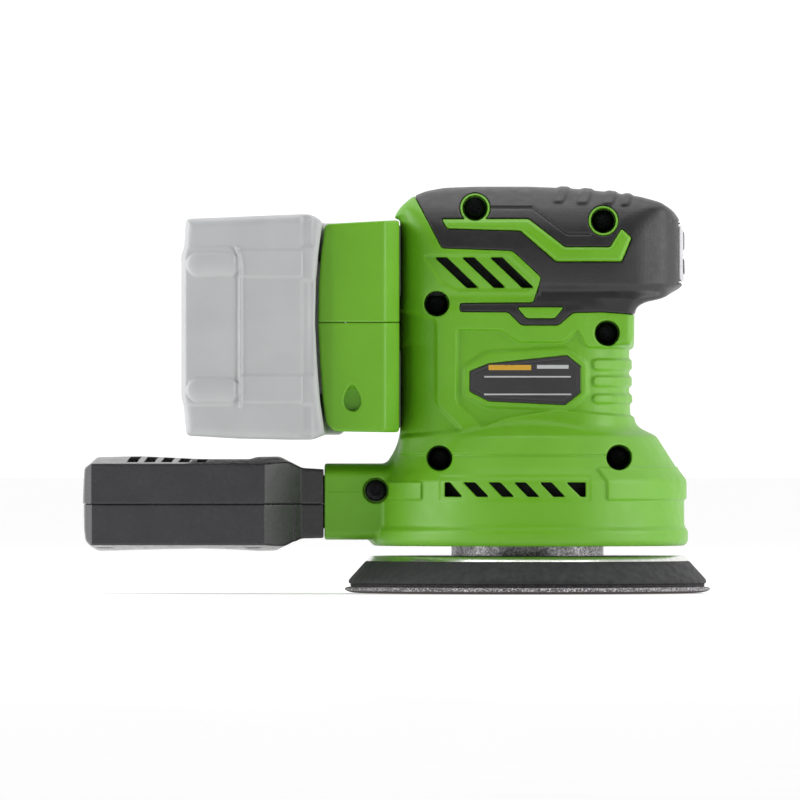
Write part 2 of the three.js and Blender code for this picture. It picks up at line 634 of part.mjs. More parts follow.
function addCollar() {
  const outline = corners([
    [COLLAR_FRONT, 55], [COLLAR_FRONT, 127.3], [-69.4, 125.8], [-70.9, 116], [-71.8, 104],
    [COLLAR_BACK, 92], [-71.2, 78], [-70.3, 66], [-69, 57.2], [-67, 55.3],
  ]);
  const [chamferLength, chamferDepth] = [5.4, 8];
  const plan = corners([
    [COLLAR_BACK - 1, COLLAR_NEAR], [COLLAR_FRONT - chamferLength, COLLAR_NEAR],
    [COLLAR_FRONT, COLLAR_NEAR + chamferDepth], [COLLAR_FRONT, COLLAR_FAR - chamferDepth],
    [COLLAR_FRONT - chamferLength, COLLAR_FAR], [COLLAR_BACK - 1, COLLAR_FAR],
  ]);
  const gasketSeat = COLLAR_FRONT - 2.1;
  const gasketOutline = margin => rounded([
    [-27 - margin, 56.5 - margin], [27 + margin, 56.5 - margin],
    [27 + margin, 125.5 + margin], [-27 - margin, 125.5 + margin],
  ], 4);
  const outer = common(prism('side', outline, COLLAR_NEAR, COLLAR_FAR), prism('plan', plan, 50, 130));
  const [neckLow, neckHigh] = around(RAIL_MIDDLE, NECK_HALF_HEIGHT + GAP);
  const [flangeLow, flangeHigh] = around(RAIL_MIDDLE, FLANGE.halfHeight + GAP);
  const near = COLLAR_NEAR + 3.4;
  const hollow = union(
    block([-80, near, neckLow], [FLANGE.back, 60, neckHigh]),
    block([FLANGE.back - GAP, near, flangeLow], [FLANGE.front + GAP, 60, flangeHigh]),
    block([FLANGE.front, COLLAR_NEAR + 8.6, 59.5], [gasketSeat - WALL, COLLAR_FAR - 9, 122]),
    block([-52, -13, 80], [-40, 13, 104]),
    prism('front', gasketOutline(GAP), gasketSeat, COLLAR_FRONT + 1),
  );
  const screwAxis = [-60.4, 65.5];
  const screwSpace = union(
    bar('y', 3.4, -70, -36, screwAxis, 16),
    bar('y', 1.7, -40, -20, screwAxis, 12),
  );
  const flangeWay = block([-80, near, flangeLow], [-62.6, 60, 130]);
  const post = cut(common(bar('y', 5.2, COLLAR_NEAR, -22, screwAxis, 16), outer), flangeWay);
  const whole = cut(union(cut(outer, hollow), post), screwSpace);
  place('collar_upper', common(whole, block([-80, -50, COLLAR_SEAM + GAP / 2], [-40, 50, 140])), GREEN);
  place('collar_lower', common(whole, block([-80, -50, 40], [-40, 50, COLLAR_SEAM - GAP / 2])), GREEN);
  place('collar_screw', screw(12, 2.9, 1.4), DARK_STEEL, {
    position: [screwAxis[0], -36 - GAP, screwAxis[1]],
  });

  place('collar_gasket', cut(
    prism('front', gasketOutline(0), gasketSeat + GAP, TRUNK_BACK - GAP),
    block([-60, -16, 77], [-40, 16, 107]),
  ), RUBBER);

  const body = block([FLANGE.front + 2 * GAP, -22, 76], [gasketSeat - WALL - GAP, 18, 105]);
  const blades = [-1, 0, 1].map(i => {
    const z = RAIL_MIDDLE + i * TERMINAL_PITCH;
    return block([FLANGE.back + 0.6, -31, z - 0.5], [FLANGE.front + 1, -14, z + 0.5]);
  });
  place('terminal_block', union(body, ...blades), DARK_PLASTIC);
}

// ---------------------------------------------------------------- battery pack

const LATCH = { back: -96, front: -81, halfHeight: 14 };

function addBattery() {
  const outline = corners([
    [PACK_SEAM - 17, PACK_BOTTOM + 1.4], [PACK_SEAM, PACK_BOTTOM + 0.5], [-82, PACK_BOTTOM],
    [PACK_FRONT, PACK_BOTTOM],
    [PACK_FRONT, 128.8], [-78, PACK_TOP], [PACK_SEAM, 128.4], [PACK_SEAM - 17, 127.7], [-118.2, 125.6],
    [PACK_BACK, 115], [PACK_BACK, 66], [-118.2, 55.8],
  ]);
  const plan = rounded([
    [PACK_BACK, PACK_NEAR], [-60, PACK_NEAR], [-60, PACK_FAR], [PACK_BACK, PACK_FAR],
  ], 6);
  const body = depth => common(
    prism('side', inset(outline, depth), PACK_NEAR + depth, PACK_FAR - depth),
    prism('plan', inset(plan, depth), 40, 140),
  );
  const endBlock = block([-80, COLLAR_FAR + GAP, 54], [-63, PACK_FAR, 126.8]);
  const [neckLow, neckHigh] = around(RAIL_MIDDLE, NECK_HALF_HEIGHT);
  const [flangeLow, flangeHigh] = around(RAIL_MIDDLE, FLANGE.halfHeight);
  const foot = union(
    block([PACK_FRONT - 1, COLLAR_NEAR + 6, neckLow], [FLANGE.front, COLLAR_FAR + 2, neckHigh]),
    block([FLANGE.back + GAP, COLLAR_NEAR + 6, flangeLow], [FLANGE.front, COLLAR_FAR + 2, flangeHigh]),
  );
  const slots = [-1, 0, 1].map(i => {
    const z = RAIL_MIDDLE + i * TERMINAL_PITCH;
    return block([FLANGE.back - 1, -50, z - 1.2], [FLANGE.front + 1, -12, z + 1.2]);
  });
  const footHollow = block([PACK_FRONT - 6, -8, 73], [FLANGE.back + 1.4, 40, 108]);
  const latchHole = block(
    [LATCH.back - GAP, PACK_FAR - 5, RAIL_MIDDLE - LATCH.halfHeight - GAP],
    [LATCH.front + GAP, PACK_FAR + 5, RAIL_MIDDLE + LATCH.halfHeight + GAP],
  );
  const whole = cut(union(body(0), endBlock, foot), body(WALL), ...slots, footHollow, latchHole);
  const outerSide = block([-130, -60, 40], [PACK_SEAM - GAP / 2, 70, 140]);
  const innerSide = block([PACK_SEAM + GAP / 2, -60, 40], [-50, 70, 140]);
  place('battery_outer_case', common(whole, outerSide), PALE_PLASTIC);
  place('battery_inner_case', common(whole, innerSide), PALE_PLASTIC);

  const cell = solid(new THREE.LatheGeometry([
    point(0, 0), point(CELL_RADIUS - 0.6, 0), point(CELL_RADIUS, 0.6),
    point(CELL_RADIUS, CELL_LENGTH - 2.6), point(CELL_RADIUS - 0.8, CELL_LENGTH - 1.2),
    point(4, CELL_LENGTH - 1.2), point(4, CELL_LENGTH),
    point(0, CELL_LENGTH),
  ], 18));
  const [outerRow, innerRow, cellPitch, middleCell] = [-105, -87.6, 20.4, 4.4];
  for (let i = 0; i < 5; i += 1) {
    const flipped = i % 2 === 1;
    const start = PACK_MIDDLE + (flipped ? 0.5 : -0.5) * CELL_LENGTH;
    place(`battery_cell_${i + 1}`, cell, finish(0x3b6ea8, 0.4), {
      position: [flipped ? innerRow : outerRow, middleCell + (i - 2) * cellPitch, start],
      rotation: [flipped ? -Math.PI / 2 : Math.PI / 2, 0, 0],
    });
  }
  place('battery_board', block([-74, -6, 75], [-72.4, 38, 106]), BOARD_GREEN);

  const cap = block(
    [LATCH.back, PACK_FAR - 4, RAIL_MIDDLE - LATCH.halfHeight],
    [LATCH.front, PACK_FAR + 1.4, RAIL_MIDDLE + LATCH.halfHeight],
  );
  const dishes = [-1, 0, 1].map(i => bar('x', 3, -100, -70, [PACK_FAR + 3.2, RAIL_MIDDLE + i * 7], 16));
  place('battery_latch', cut(cap, ...dishes), DARK_PLASTIC);
}

// ---------------------------------------------------------------- dust box

const SPIGOT = { end: -59.5, halfWidth: 14.6, bottom: 22.2, top: 40.2, wall: 1.8 };

function addDustBox() {
  const side = corners([
    [-147, 14], [-90, 14], [-77.6, 18.9], [BOX_NECK_END, 18.9], [BOX_NECK_END, 42.2], [-77.4, 42.4],
    [-86, 46.8], [-93, 46.5], [-101, 45.7], [-112, 45.7], [-133, 46.9], [-147.6, 46.4], [-149.6, 44.2],
    [-152, 42.5], [BOX_BACK, 31], [-152, 18], [-149.8, 15.6],
  ]);
  const plan = corners(mirroredOutline([
    [BOX_BACK, 20], [BOX_BACK + 2, 26], [BOX_BACK + 6, BOX_HALF_WIDTH], [-92, BOX_HALF_WIDTH], [-78, 19.6],
    [BOX_NECK_END, 19.2],
  ]));
  const front = rounded([
    [-BOX_HALF_WIDTH, 13.9], [BOX_HALF_WIDTH, 13.9], [BOX_HALF_WIDTH, 47], [-BOX_HALF_WIDTH, 47],
  ], 6);
  const shape = depth => common(
    prism('side', inset(side, depth), -40, 40),
    prism('plan', inset(plan, depth), 0, 60),
    prism('front', inset(front, depth), -160, -60),
  );
  const spigotOutline = depth => rounded([
    [-SPIGOT.halfWidth + depth, SPIGOT.bottom + depth], [SPIGOT.halfWidth - depth, SPIGOT.bottom + depth],
    [SPIGOT.halfWidth - depth, SPIGOT.top - depth], [-SPIGOT.halfWidth + depth, SPIGOT.top - depth],
  ], 4);
  const spigot = prism('front', spigotOutline(0), BOX_NECK_END - 2, SPIGOT.end);
  const vents = Array.from({ length: 5 }, (_, i) => {
    const x = -134.6 + i * 5.9;
    return block([x - 2, -19, 42], [x + 2, 19, 50]);
  });
  const whole = cut(
    union(shape(0), spigot), shape(2.1), prism('front', spigotOutline(SPIGOT.wall), -80, -50), ...vents,
  );
  const upperSide = block([-160, -40, BOX_SEAM + GAP / 2], [-50, 40, 60]);
  const lowerSide = block([-160, -40, 0], [-50, 40, BOX_SEAM - GAP / 2]);
  place('dust_box_upper', common(whole, upperSide), DARK_PLASTIC);
  place('dust_box_lower', common(whole, lowerSide), DARK_PLASTIC);

  const seal = cut(
    prism('front', inset(spigotOutline(0), -1.5), -67, -63.6),
    prism('front', inset(spigotOutline(0), -GAP), -70, -60),
  );
  place('dust_box_seal', seal, RUBBER);

  const pleats = 12;
  const pitch = 3.5;
  const upper = [];
  const lower = [];
  for (let i = 0; i <= pleats; i += 1) {
    const x = -142 + i * pitch;
    const crest = i % 2 === 0 ? 42.6 : 35.5;
    upper.push([x, crest]);
    lower.unshift([x, crest - 1.6]);
  }
  place('dust_filter', prism('side', corners([...upper, ...lower]), -24, 24), finish(0xd9d6cc, 0.95));
}

addHousing();
addScrews();
addNose();
addController();
addMotor();
addRotor();
addFloor();
addPad();
addCollar();
addBattery();
addDustBox();

export default sander;
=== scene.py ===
"""A cordless orbital sander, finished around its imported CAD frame.

Mouldings are modelled as signed distance fields in millimetres, in the CAD's own coordinates, and
turned into meshes here. Round metal and pad parts are turned profiles.
"""
import math

import bmesh
import bpy
import numpy as np
from mathutils import Matrix, Vector


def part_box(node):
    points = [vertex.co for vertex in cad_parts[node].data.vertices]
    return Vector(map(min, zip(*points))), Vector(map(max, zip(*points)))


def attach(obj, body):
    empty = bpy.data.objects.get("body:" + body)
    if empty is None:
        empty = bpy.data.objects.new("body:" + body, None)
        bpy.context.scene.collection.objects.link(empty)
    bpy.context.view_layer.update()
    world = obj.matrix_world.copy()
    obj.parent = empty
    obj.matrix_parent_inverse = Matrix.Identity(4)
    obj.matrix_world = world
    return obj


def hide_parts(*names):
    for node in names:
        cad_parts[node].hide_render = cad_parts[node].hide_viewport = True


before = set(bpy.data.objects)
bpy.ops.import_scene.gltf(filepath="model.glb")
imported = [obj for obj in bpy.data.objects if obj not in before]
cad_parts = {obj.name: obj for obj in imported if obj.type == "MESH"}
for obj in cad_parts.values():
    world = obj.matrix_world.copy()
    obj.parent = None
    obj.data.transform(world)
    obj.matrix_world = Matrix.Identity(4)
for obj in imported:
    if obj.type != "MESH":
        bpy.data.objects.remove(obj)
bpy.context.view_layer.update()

MM = 0.001
GAP = 0.06                       # half of the parting line between the housing halves, mm
SEAM_GAP = 0.08                  # the same between an upper and a lower shell
COARSER = 1.0


# ---------------- places taken from the frame

def box(node):
    """The node's lowest and highest corners at rest, in millimetres."""
    low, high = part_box(node)
    return np.array(low) / MM, np.array(high) / MM


def centre(node):
    low, high = box(node)
    return (low + high) / 2


GRIP_HIGH = box("grip_right")[1]
HOUSING_LOW, HOUSING_HIGH = box("housing_right")
HEAD_TOP = GRIP_HIGH[2]
NOSE_FRONT = GRIP_HIGH[0]
FLANGE_RADIUS = HOUSING_HIGH[0]
SKIRT_RADIUS = FLANGE_RADIUS - 1.3
DUCT_END = HOUSING_LOW[0]
WELLS = [centre(f"housing_screw_{i}")[[0, 2]] for i in range(1, 8)]
SCREW_SEAT = box("housing_screw_1")[0][1] + 2.775
COLLAR_SCREW_SEAT = box("collar_screw")[0][1] + 3.9
TRUNK_BACK = box("collar_gasket")[1][0] + 0.02
TRUNK_HALF_WIDTH = 33.0
WELL_RADIUS = 4.3
RIM_RADIUS = 5.1
POST_RADIUS = 5.8
SHANK_HOLE_RADIUS = 2.1
WALL = 2.5
CLEARANCE = 0.3                  # room around a piece that slides or drops into a recess, mm
GRIP_THICKNESS = 2.0


# ---------------- outlines and distance fields

def rounded(points, radius, steps=4):
    """The outline with each corner turned into a short curve that starts radius away from it."""
    points = [np.array(p, float) for p in points]
    outline = []
    for i, corner in enumerate(points):
        before, after = points[i - 1], points[(i + 1) % len(points)]
        ends = []
        for other in (before, after):
            run = other - corner
            length = np.linalg.norm(run)
            ends.append(corner + run / length * min(radius, length * 0.48))
        for t in np.linspace(0, 1, steps + 1):
            outline.append((1 - t) ** 2 * ends[0] + 2 * t * (1 - t) * corner + t * t * ends[1])
    return np.array(outline)


def mirrored(half):
    """A closed outline from its upper half, reflected in the first axis."""
    return list(half) + [(u, -v) for u, v in reversed(half)]


def segment_distance2(wu, wv, eu, ev):
    """Squared distance from points at (wu, wv) to the segment from the origin to (eu, ev)."""
    t = np.clip((wu * eu + wv * ev) / (eu * eu + ev * ev), 0, 1)
    return (wu - t * eu) ** 2 + (wv - t * ev) ** 2


def outline_distance(u, v, outline):
    """Signed distance to a closed outline, negative inside."""
    nearest = np.full(u.shape, np.inf)
    inside = np.zeros(u.shape, bool)
    for (au, av), (bu, bv) in zip(outline, np.roll(outline, -1, axis=0)):
        eu, ev = bu - au, bv - av
        if eu * eu + ev * ev < 1e-12:
            continue
        wu, wv = u - au, v - av
        nearest = np.minimum(nearest, segment_distance2(wu, wv, eu, ev))
        if ev:
            inside ^= ((av > v) != (bv > v)) & (wu < eu * wv / ev)
    nearest = np.sqrt(nearest)
    return np.where(inside, -nearest, nearest)


def path_distance(u, v, path):
    nearest = np.full(u.shape, np.inf)
    for (au, av), (bu, bv) in zip(path, path[1:]):
        nearest = np.minimum(nearest, segment_distance2(u - au, v - av, bu - au, bv - av))
    return np.sqrt(nearest)


class Chart:
    """A function of two coordinates, sampled once and read back by interpolation."""

    def __init__(self, function, low, high, step=0.25):
        self.low, self.step = np.array(low, float), step
        counts = np.ceil((np.array(high) - self.low) / step).astype(int) + 1
        u = self.low[0] + np.arange(counts[0]) * step
        v = self.low[1] + np.arange(counts[1]) * step
        self.values = function(*np.meshgrid(u, v, indexing="ij")).astype(np.float32)

    def __call__(self, u, v):
        top = np.array(self.values.shape) - 1.001
        s = np.clip((u - self.low[0]) / self.step, 0, top[0])
        t = np.clip((v - self.low[1]) / self.step, 0, top[1])
        i, j = s.astype(np.int32), t.astype(np.int32)
        s, t = s - i, t - j
        flat = self.values.ravel()
        k = i * self.values.shape[1] + j
        near = flat[k] * (1 - t) + flat[k + 1] * t
        k += self.values.shape[1]
        far = flat[k] * (1 - t) + flat[k + 1] * t
        return near * (1 - s) + far * s


def chart(outline, margin=14.0):
    """The outline's signed distance as a Chart, negative inside."""
    outline = np.array(outline, float)
    low, high = outline.min(0) - margin, outline.max(0) + margin
    return Chart(lambda u, v: outline_distance(u, v, outline), low, high)


def smooth_max(a, b, radius):
    h = np.maximum(radius - np.abs(a - b), 0) / radius
    return np.maximum(a, b) + h * h * radius / 4


def smooth_min(a, b, radius):
    return -smooth_max(-a, -b, radius)


def slab(value, low, high):
    """Signed distance along one axis to the interval from low to high."""
    return np.maximum(low - value, value - high)


def block(x, y, z, low, high, radius=0.0):
    """A box with rounded edges."""
    middle, half = (np.array(low) + high) / 2, (np.array(high) - low) / 2 - radius
    q = [np.abs(p - m) - h for p, m, h in zip((x, y, z), middle, half)]
    outside = np.sqrt(sum(np.maximum(d, 0) ** 2 for d in q))
    return outside + np.minimum(np.maximum(np.maximum(q[0], q[1]), q[2]), 0) - radius


def step_up(distance, width):
    """1 well inside a distance field, 0 well outside, with a smooth slope of the given width."""
    t = np.clip(0.5 - distance / width, 0, 1)
    return t * t * (3 - 2 * t)


def valley(distance, half_width):
    """1 on a line, falling smoothly to 0 at half_width from it."""
    t = np.clip(1 - distance / half_width, 0, 1)
    return t * t * (3 - 2 * t)


# ---------------- meshes from distance fields

BLOCK = 8
EDGES = [(a, a | bit) for a in range(8) for bit in (1, 2, 4) if not a & bit]
CORNERS = np.array([[k >> 2 & 1, k >> 1 & 1, k & 1] for k in range(8)])


def sample_field(field, low, high, step):
    """The field on a grid, worked out only in the blocks near its surface."""
    blocks = np.ceil((high - low) / step / BLOCK).astype(int)
    span = BLOCK * step
    index = np.stack(np.meshgrid(*[np.arange(n) for n in blocks], indexing="ij"), -1).reshape(-1, 3)
    centres = (low + (index + 0.5) * span).astype(np.float32)
    coarse = field(*centres.T)
    signs = np.where(coarse < 0, -9.0, 9.0).astype(np.float32).reshape(blocks)
    values = np.pad(np.kron(signs, np.ones((BLOCK,) * 3, np.float32)), [(0, 1)] * 3, mode="edge")
    near = index[np.abs(coarse) < span * 0.87 * 1.3 + 0.8]
    local = np.stack(np.meshgrid(*[np.arange(BLOCK + 1)] * 3, indexing="ij"), -1).reshape(-1, 3)
    for start in range(0, len(near), 1500):
        group = near[start:start + 1500]
        points = low + (group[:, None, :] * BLOCK + local[None]) * step
        result = field(*points.reshape(-1, 3).astype(np.float32).T)
        result = result.reshape(len(group), BLOCK + 1, BLOCK + 1, BLOCK + 1)
        for (i, j, k), part in zip(group * BLOCK, result):
            values[i:i + BLOCK + 1, j:j + BLOCK + 1, k:k + BLOCK + 1] = part
    return values


def gradient(field, points, reach=0.06):
    columns = []
    for axis in range(3):
        offset = np.zeros(3)
        offset[axis] = reach
        ahead = field(*(points + offset).T.astype(np.float32))
        behind = field(*(points - offset).T.astype(np.float32))
        columns.append((ahead - behind) / (2 * reach))
    return np.stack(columns, 1).astype(float)


def surface(field, low, high, step):
    """Vertices, quads and normals of the field's zero surface."""
    low, high = np.array(low, float) - 2 * step, np.array(high, float) + 2 * step
    values = sample_field(field, low, high, step)
    inside = values < 0
    shape = [n - 1 for n in values.shape]
    corner_count = np.zeros(shape, np.int8)
    for corner in CORNERS:
        i, j, k = corner
        corner_count += inside[i:i + shape[0], j:j + shape[1], k:k + shape[2]]
    active = (corner_count > 0) & (corner_count < 8)
    cells = np.argwhere(active)
    ids = np.full(shape, -1, np.int32)
    ids[active] = np.arange(len(cells))
    at_corners = [values[tuple((cells + corner).T)] for corner in CORNERS]
    total, count = np.zeros((len(cells), 3)), np.zeros(len(cells))
    for a, b in EDGES:
        crossed = (at_corners[a] < 0) != (at_corners[b] < 0)
        t = at_corners[a][crossed] / (at_corners[a][crossed] - at_corners[b][crossed])
        total[crossed] += CORNERS[a] + t[:, None] * (CORNERS[b] - CORNERS[a])
        count[crossed] += 1
    vertices = low + (cells + total / count[:, None]) * step
    quads = []
    for axis in range(3):
        u, v = (axis + 1) % 3, (axis + 2) % 3
        ahead = [slice(None)] * 3
        behind = [slice(None)] * 3
        ahead[axis], behind[axis] = slice(1, None), slice(None, -1)
        here = inside[tuple(behind)]
        crossing = here != inside[tuple(ahead)]
        edge = np.argwhere(crossing)
        edge = edge[(edge[:, u] > 0) & (edge[:, v] > 0) & (edge[:, u] < shape[u]) & (edge[:, v] < shape[v])]
        outward = here[tuple(edge.T)]
        ring = []
        for du, dv in ((1, 1), (0, 1), (0, 0), (1, 0)):
            cell = edge.copy()
            cell[:, u] -= du
            cell[:, v] -= dv
            ring.append(ids[tuple(cell.T)])
        ring = np.stack(ring, 1)
        ring[~outward] = ring[~outward][:, ::-1]
        quads.append(ring)
    quads = np.concatenate(quads)
    for _ in range(3):
        slope = gradient(field, vertices)
        size = np.maximum((slope ** 2).sum(1), 0.05)
        move = slope * (field(*vertices.T.astype(np.float32)) / size)[:, None]
        vertices -= np.clip(move, -step * 0.5, step * 0.5)
    slope = gradient(field, vertices, step * 0.25)
    normals = slope / np.maximum(np.linalg.norm(slope, axis=1), 1e-6)[:, None]
    return vertices, quads, normals


def link(piece, body, slot, material=None):
    """Put the piece in the scene on its body, in its slot's material unless another is named."""
    bpy.context.scene.collection.objects.link(piece)
    piece.data.materials.append(MATERIALS[material or slot])
    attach(piece, body)
    return piece


def mould(name, field, low, high, step, body, slot, *nodes, material=None):
    """A piece whose surface is the field's zero set, standing for the named CAD nodes."""
    vertices, quads, normals = surface(field, low, high, step * COARSER)
    mesh = bpy.data.meshes.new(name)
    mesh.vertices.add(len(vertices))
    mesh.vertices.foreach_set("co", (vertices * MM).ravel())
    mesh.loops.add(quads.size)
    mesh.loops.foreach_set("vertex_index", quads.ravel())
    mesh.polygons.add(len(quads))
    mesh.polygons.foreach_set("loop_start", np.arange(0, quads.size, 4))
    mesh.update(calc_edges=True)
    mesh.validate()
    mesh.shade_smooth()
    if len(mesh.vertices) == len(normals):
        mesh.normals_split_custom_set_from_vertices(normals)
    piece = link(bpy.data.objects.new(name, mesh), body, slot, material)
    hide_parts(*nodes)
    return piece


# ---------------- housing: base shape

LIP_TIP = (-46.9, 127.9)         # the head's rear edge, which reaches over the battery collar
HEAD_SIDE = chart(rounded([
    (TRUNK_BACK, 84), (TRUNK_BACK, LIP_TIP[1]), LIP_TIP, (-43.6, 132.2), (-40.2, 135.2),
    (-35.5, 137.3), (-29, 138.6), (-18, HEAD_TOP + 0.1),
    (0, HEAD_TOP + 0.1), (14, 138.4), (27, 137.1), (38, 135.4), (44.8, 133.5), (49.2, 130.6), (51.9, 127),
    (53.3, 122.5), (NOSE_FRONT, 115), (53.7, 107.5), (52.7, 104), (50, 102.2), (45, 100.6), (40, 99.5),
    (37, 98), (35.5, 95.2), (35.2, 84),
], 1.4))
HEAD_FRONT = chart(rounded(mirrored([
    (140.8, 6), (139.4, 12.5), (136.2, 19.5), (131.5, 25.6), (125.5, 30), (119, 32.4), (112, 33.2),
    (106, 32.8), (101.5, 31.4), (97, 31), (84, 31),
]), 3))
HEAD_PLAN = chart(rounded(mirrored([
    (LIP_TIP[0] - 0.2, 17), (TRUNK_BACK, 22), (-41, 26.5), (-36, 30.6), (-29, 33), (14, 33.4),
    (28, 32), (38, 28.8), (46, 23.9),
    (49.6, 18.8), (51.3, 14.2), (53.1, 8.4), (NOSE_FRONT + 0.3, 3),
]), 3))
TRUNK_PLAN = chart(rounded(mirrored([
    (TRUNK_BACK, 20), (-41.5, 26), (-37, 30.3), (-31.8, 32.7), (-26, TRUNK_HALF_WIDTH + 0.2),
    (17.5, TRUNK_HALF_WIDTH + 0.2), (24, 30.4), (29.6, 25), (33.4, 17), (35.2, 9), (35.6, 3),
]), 3))
SKIRT_PROFILE = chart(rounded([
    (-20, 16.2), (53.2, 16.2), (FLANGE_RADIUS, 17.6), (FLANGE_RADIUS, 21.3), (53.2, 22.9),
    (SKIRT_RADIUS, 24.2), (SKIRT_RADIUS, 38.3), (49.8, 42.7), (43.1, 53.2), (34.4, 57.4), (-20, 57.4),
], 0.8), margin=34)
SKIRT_CAVITY = chart(rounded([
    (-20, 8), (50.5, 8), (50.5, 37.5), (47.3, 41.6), (40.8, 51), (32, 54.8), (-20, 54.8),
], 1))
DUCT = {"half": 19.0, "bottom": 18.3, "side_top": 41.6, "top": 44.3}
DUCT_FRONT = chart(rounded(mirrored([
    (DUCT["bottom"], 15.5), (DUCT["bottom"] + 1.4, DUCT["half"]), (DUCT["side_top"], DUCT["half"]),
    (DUCT["top"] - 0.5, DUCT["half"] - 4), (DUCT["top"], 8),
]), 1.6), margin=34)


def head(x, y, z):
    across = smooth_max(HEAD_FRONT(z, y), HEAD_PLAN(x, y), 3)
    return smooth_max(HEAD_SIDE(x, z), across, 3)


def trunk(x, y, z):
    return smooth_max(TRUNK_PLAN(x, y), slab(z, 40, 99.8), 4)


def skirt(x, y, z):
    return SKIRT_PROFILE(np.hypot(x, y), z)


def duct(x, y, z):
    mouth = np.abs(x + 55) - (-55 - DUCT_END)
    return smooth_max(DUCT_FRONT(z, y), mouth, 0.8)


def plain_body(x, y, z):
    """Head, trunk, skirt and duct before any relief."""
    upper = smooth_min(head(x, y, z), trunk(x, y, z), 2.2)
    body = smooth_min(upper, skirt(x, y, z), 3.0)
    return smooth_min(body, duct(x, y, z), 1.6)


def cavity(x, y, z):
    """The hollow inside the housing, thinner-walled below the soft grip."""
    wall = WALL + GRIP_THICKNESS * np.clip((z - 86) / 5, 0, 1)
    upper = smooth_min(head(x, y, z), trunk(x, y, z), 2.2) + wall
    chamber = SKIRT_CAVITY(np.hypot(x, y), z)
    passage = np.maximum(DUCT_FRONT(z, y) + WALL, np.abs(x + 60) - 24)
    return np.minimum(np.minimum(upper, chamber), passage)


# ---------------- housing: relief seen from the side

GRIP_OUTLINE = [
    (-43, 150), (-38.8, 134.8), (-29.9, 117.7), (-5.7, 116.8), (4.0, 107.8), (1.3, 99.2), (-23.8, 99.0),
    (-23.8, 96.0), (-7.2, 95.9), (-2.7, 91.4), (9.9, 91.4), (14.8, 95.7), (25, 95.9), (38, 94.9),
    (64, 94.9), (64, 150),
]
ISLAND = [(-4.3, 97.6), (11.8, 97.6), (8.6, 93.8), (-1, 93.8)]
STRIPE = [
    (-29.9, 127.6), (-0.3, 127.7), (12.1, 118.1), (27.5, 118.1), (31.4, 124.5), (34.8, 121.3),
    (31.4, 113.2), (9.1, 113.2), (-3.1, 123.7), (-28, 124.4),
]
STRIPE_GROOVE = [(-13.5, 131.6), (1, 131.6), (12.8, 122.6), (20.6, 122.6)]
WINDOW = [(-36, 115.4), (-7.4, 115), (1.7, 107.2), (0.3, 103.4), (-24.5, 103.4), (-30, 106)]
UPPER_VENTS = [[(-32.4 + s, 114.6), (-28.1 + s, 114.6), (-17.3 + s, 104.2), (-21.4 + s, 104.2)]
               for s in (0, 9.3, 18.9)]
VENT_TOP, VENT_BOTTOM = 38.0, 33.1
LOWER_VENTS = [[(x, VENT_TOP), (x + 4.1, VENT_TOP), (x + 8.7, VENT_BOTTOM), (x + 4.7, VENT_BOTTOM)]
               for x in (-22.6, -14.0, -5.4, 3.3)]
LOWER_VENTS += [
    [(-28.8, VENT_TOP), (-27.1, VENT_TOP), (-22.9, VENT_BOTTOM), (-28.8, VENT_BOTTOM)],
    [(12.3, VENT_TOP), (19.0, VENT_TOP), (19.0, VENT_BOTTOM), (17.3, VENT_BOTTOM)],
]
VENT_FRAME = [(-30.6, 40.2), (20.6, 40.2), (20.6, 31.9), (-30.6, 31.9)]
PANEL = [
    (-24.6, 89.9), (-9.8, 89.7), (-3.5, 85.7), (11.6, 85.7), (16.6, 90), (19.5, 84), (45, 83), (45, 60.2),
    (33, 60.6), (9, 62.7), (-8, 60), (-16.5, 57), (-24.8, 65.5),
]
FRAME_CORNER = [(-31.8, 93.6), (-31.8, 64.5), (-22.8, 55.6), (-60, 52), (-60, 100)]
LABEL = [
    (-20.2, 75.7), (-13.9, 78.3), (12.8, 81.1), (17.3, 77.4), (17.3, 68.7), (12.1, 64.4), (-13.9, 65.7),
    (-20.2, 69),
]
LABEL_PAD = [
    (-22.6, 77.3), (-14.6, 82.3), (12.4, 83.9), (19.9, 78.6), (19.9, 67.6), (13, 62.6), (-14.6, 63.6),
    (-22.6, 67.6),
]
RIBS = [[(21.6, top - 0.6), (23, top), (60, top), (60, low), (23, low), (21.6, low + 0.6)]
        for top, low in ((79.9, 76.2), (74.1, 70.6), (67.9, 64.9))]
SHOULDER_TOP = 70.0
SHOULDER = [
    (-70, 47.4), (25.6, 47.4), (31, 42.8), (70, 42.8), (70, SHOULDER_TOP + 9), (-70, SHOULDER_TOP + 9),
]
PANEL_LEFT_EDGE = [(-49.5, 38.2), (-36.8, 38.2), (-36.8, 32), (-49.5, 32)]
PANEL_RIGHT = [(22.9, 43), (26.4, 38.4), (26.4, 32), (70, 32), (70, 43)]
RIDGES = [
    [(10.9, 141), (14.8, 141), (11.6, 133.4), (8, 133.4)],
    [(19.1, 141), (23.2, 141), (19.8, 133), (15.9, 133)],
    [(27.5, 140), (31.4, 140), (28.4, 132.8), (24.6, 132.8)],
    [(33.8, 140), (36.6, 140), (33.8, 132.4), (31, 132.4)],
]
SIDE_LOW, SIDE_HIGH = (-74, 10), (62, 146)
REACH = 4.0


def side_chart(function):
    return Chart(function, SIDE_LOW, SIDE_HIGH, 0.2)


def local_distance(u, v, outline):
    """Distance to a small outline, worked out only within REACH of it."""
    points = np.array(outline, float)
    low, high = points.min(0) - REACH, points.max(0) + REACH
    result = np.full(u.shape, REACH)
    near = (u > low[0]) & (u < high[0]) & (v > low[1]) & (v < high[1])
    result[near] = np.minimum(outline_distance(u[near], v[near], points), REACH)
    return result


def soft_outline(points, radius=0.7):
    return rounded(points, radius, 3)


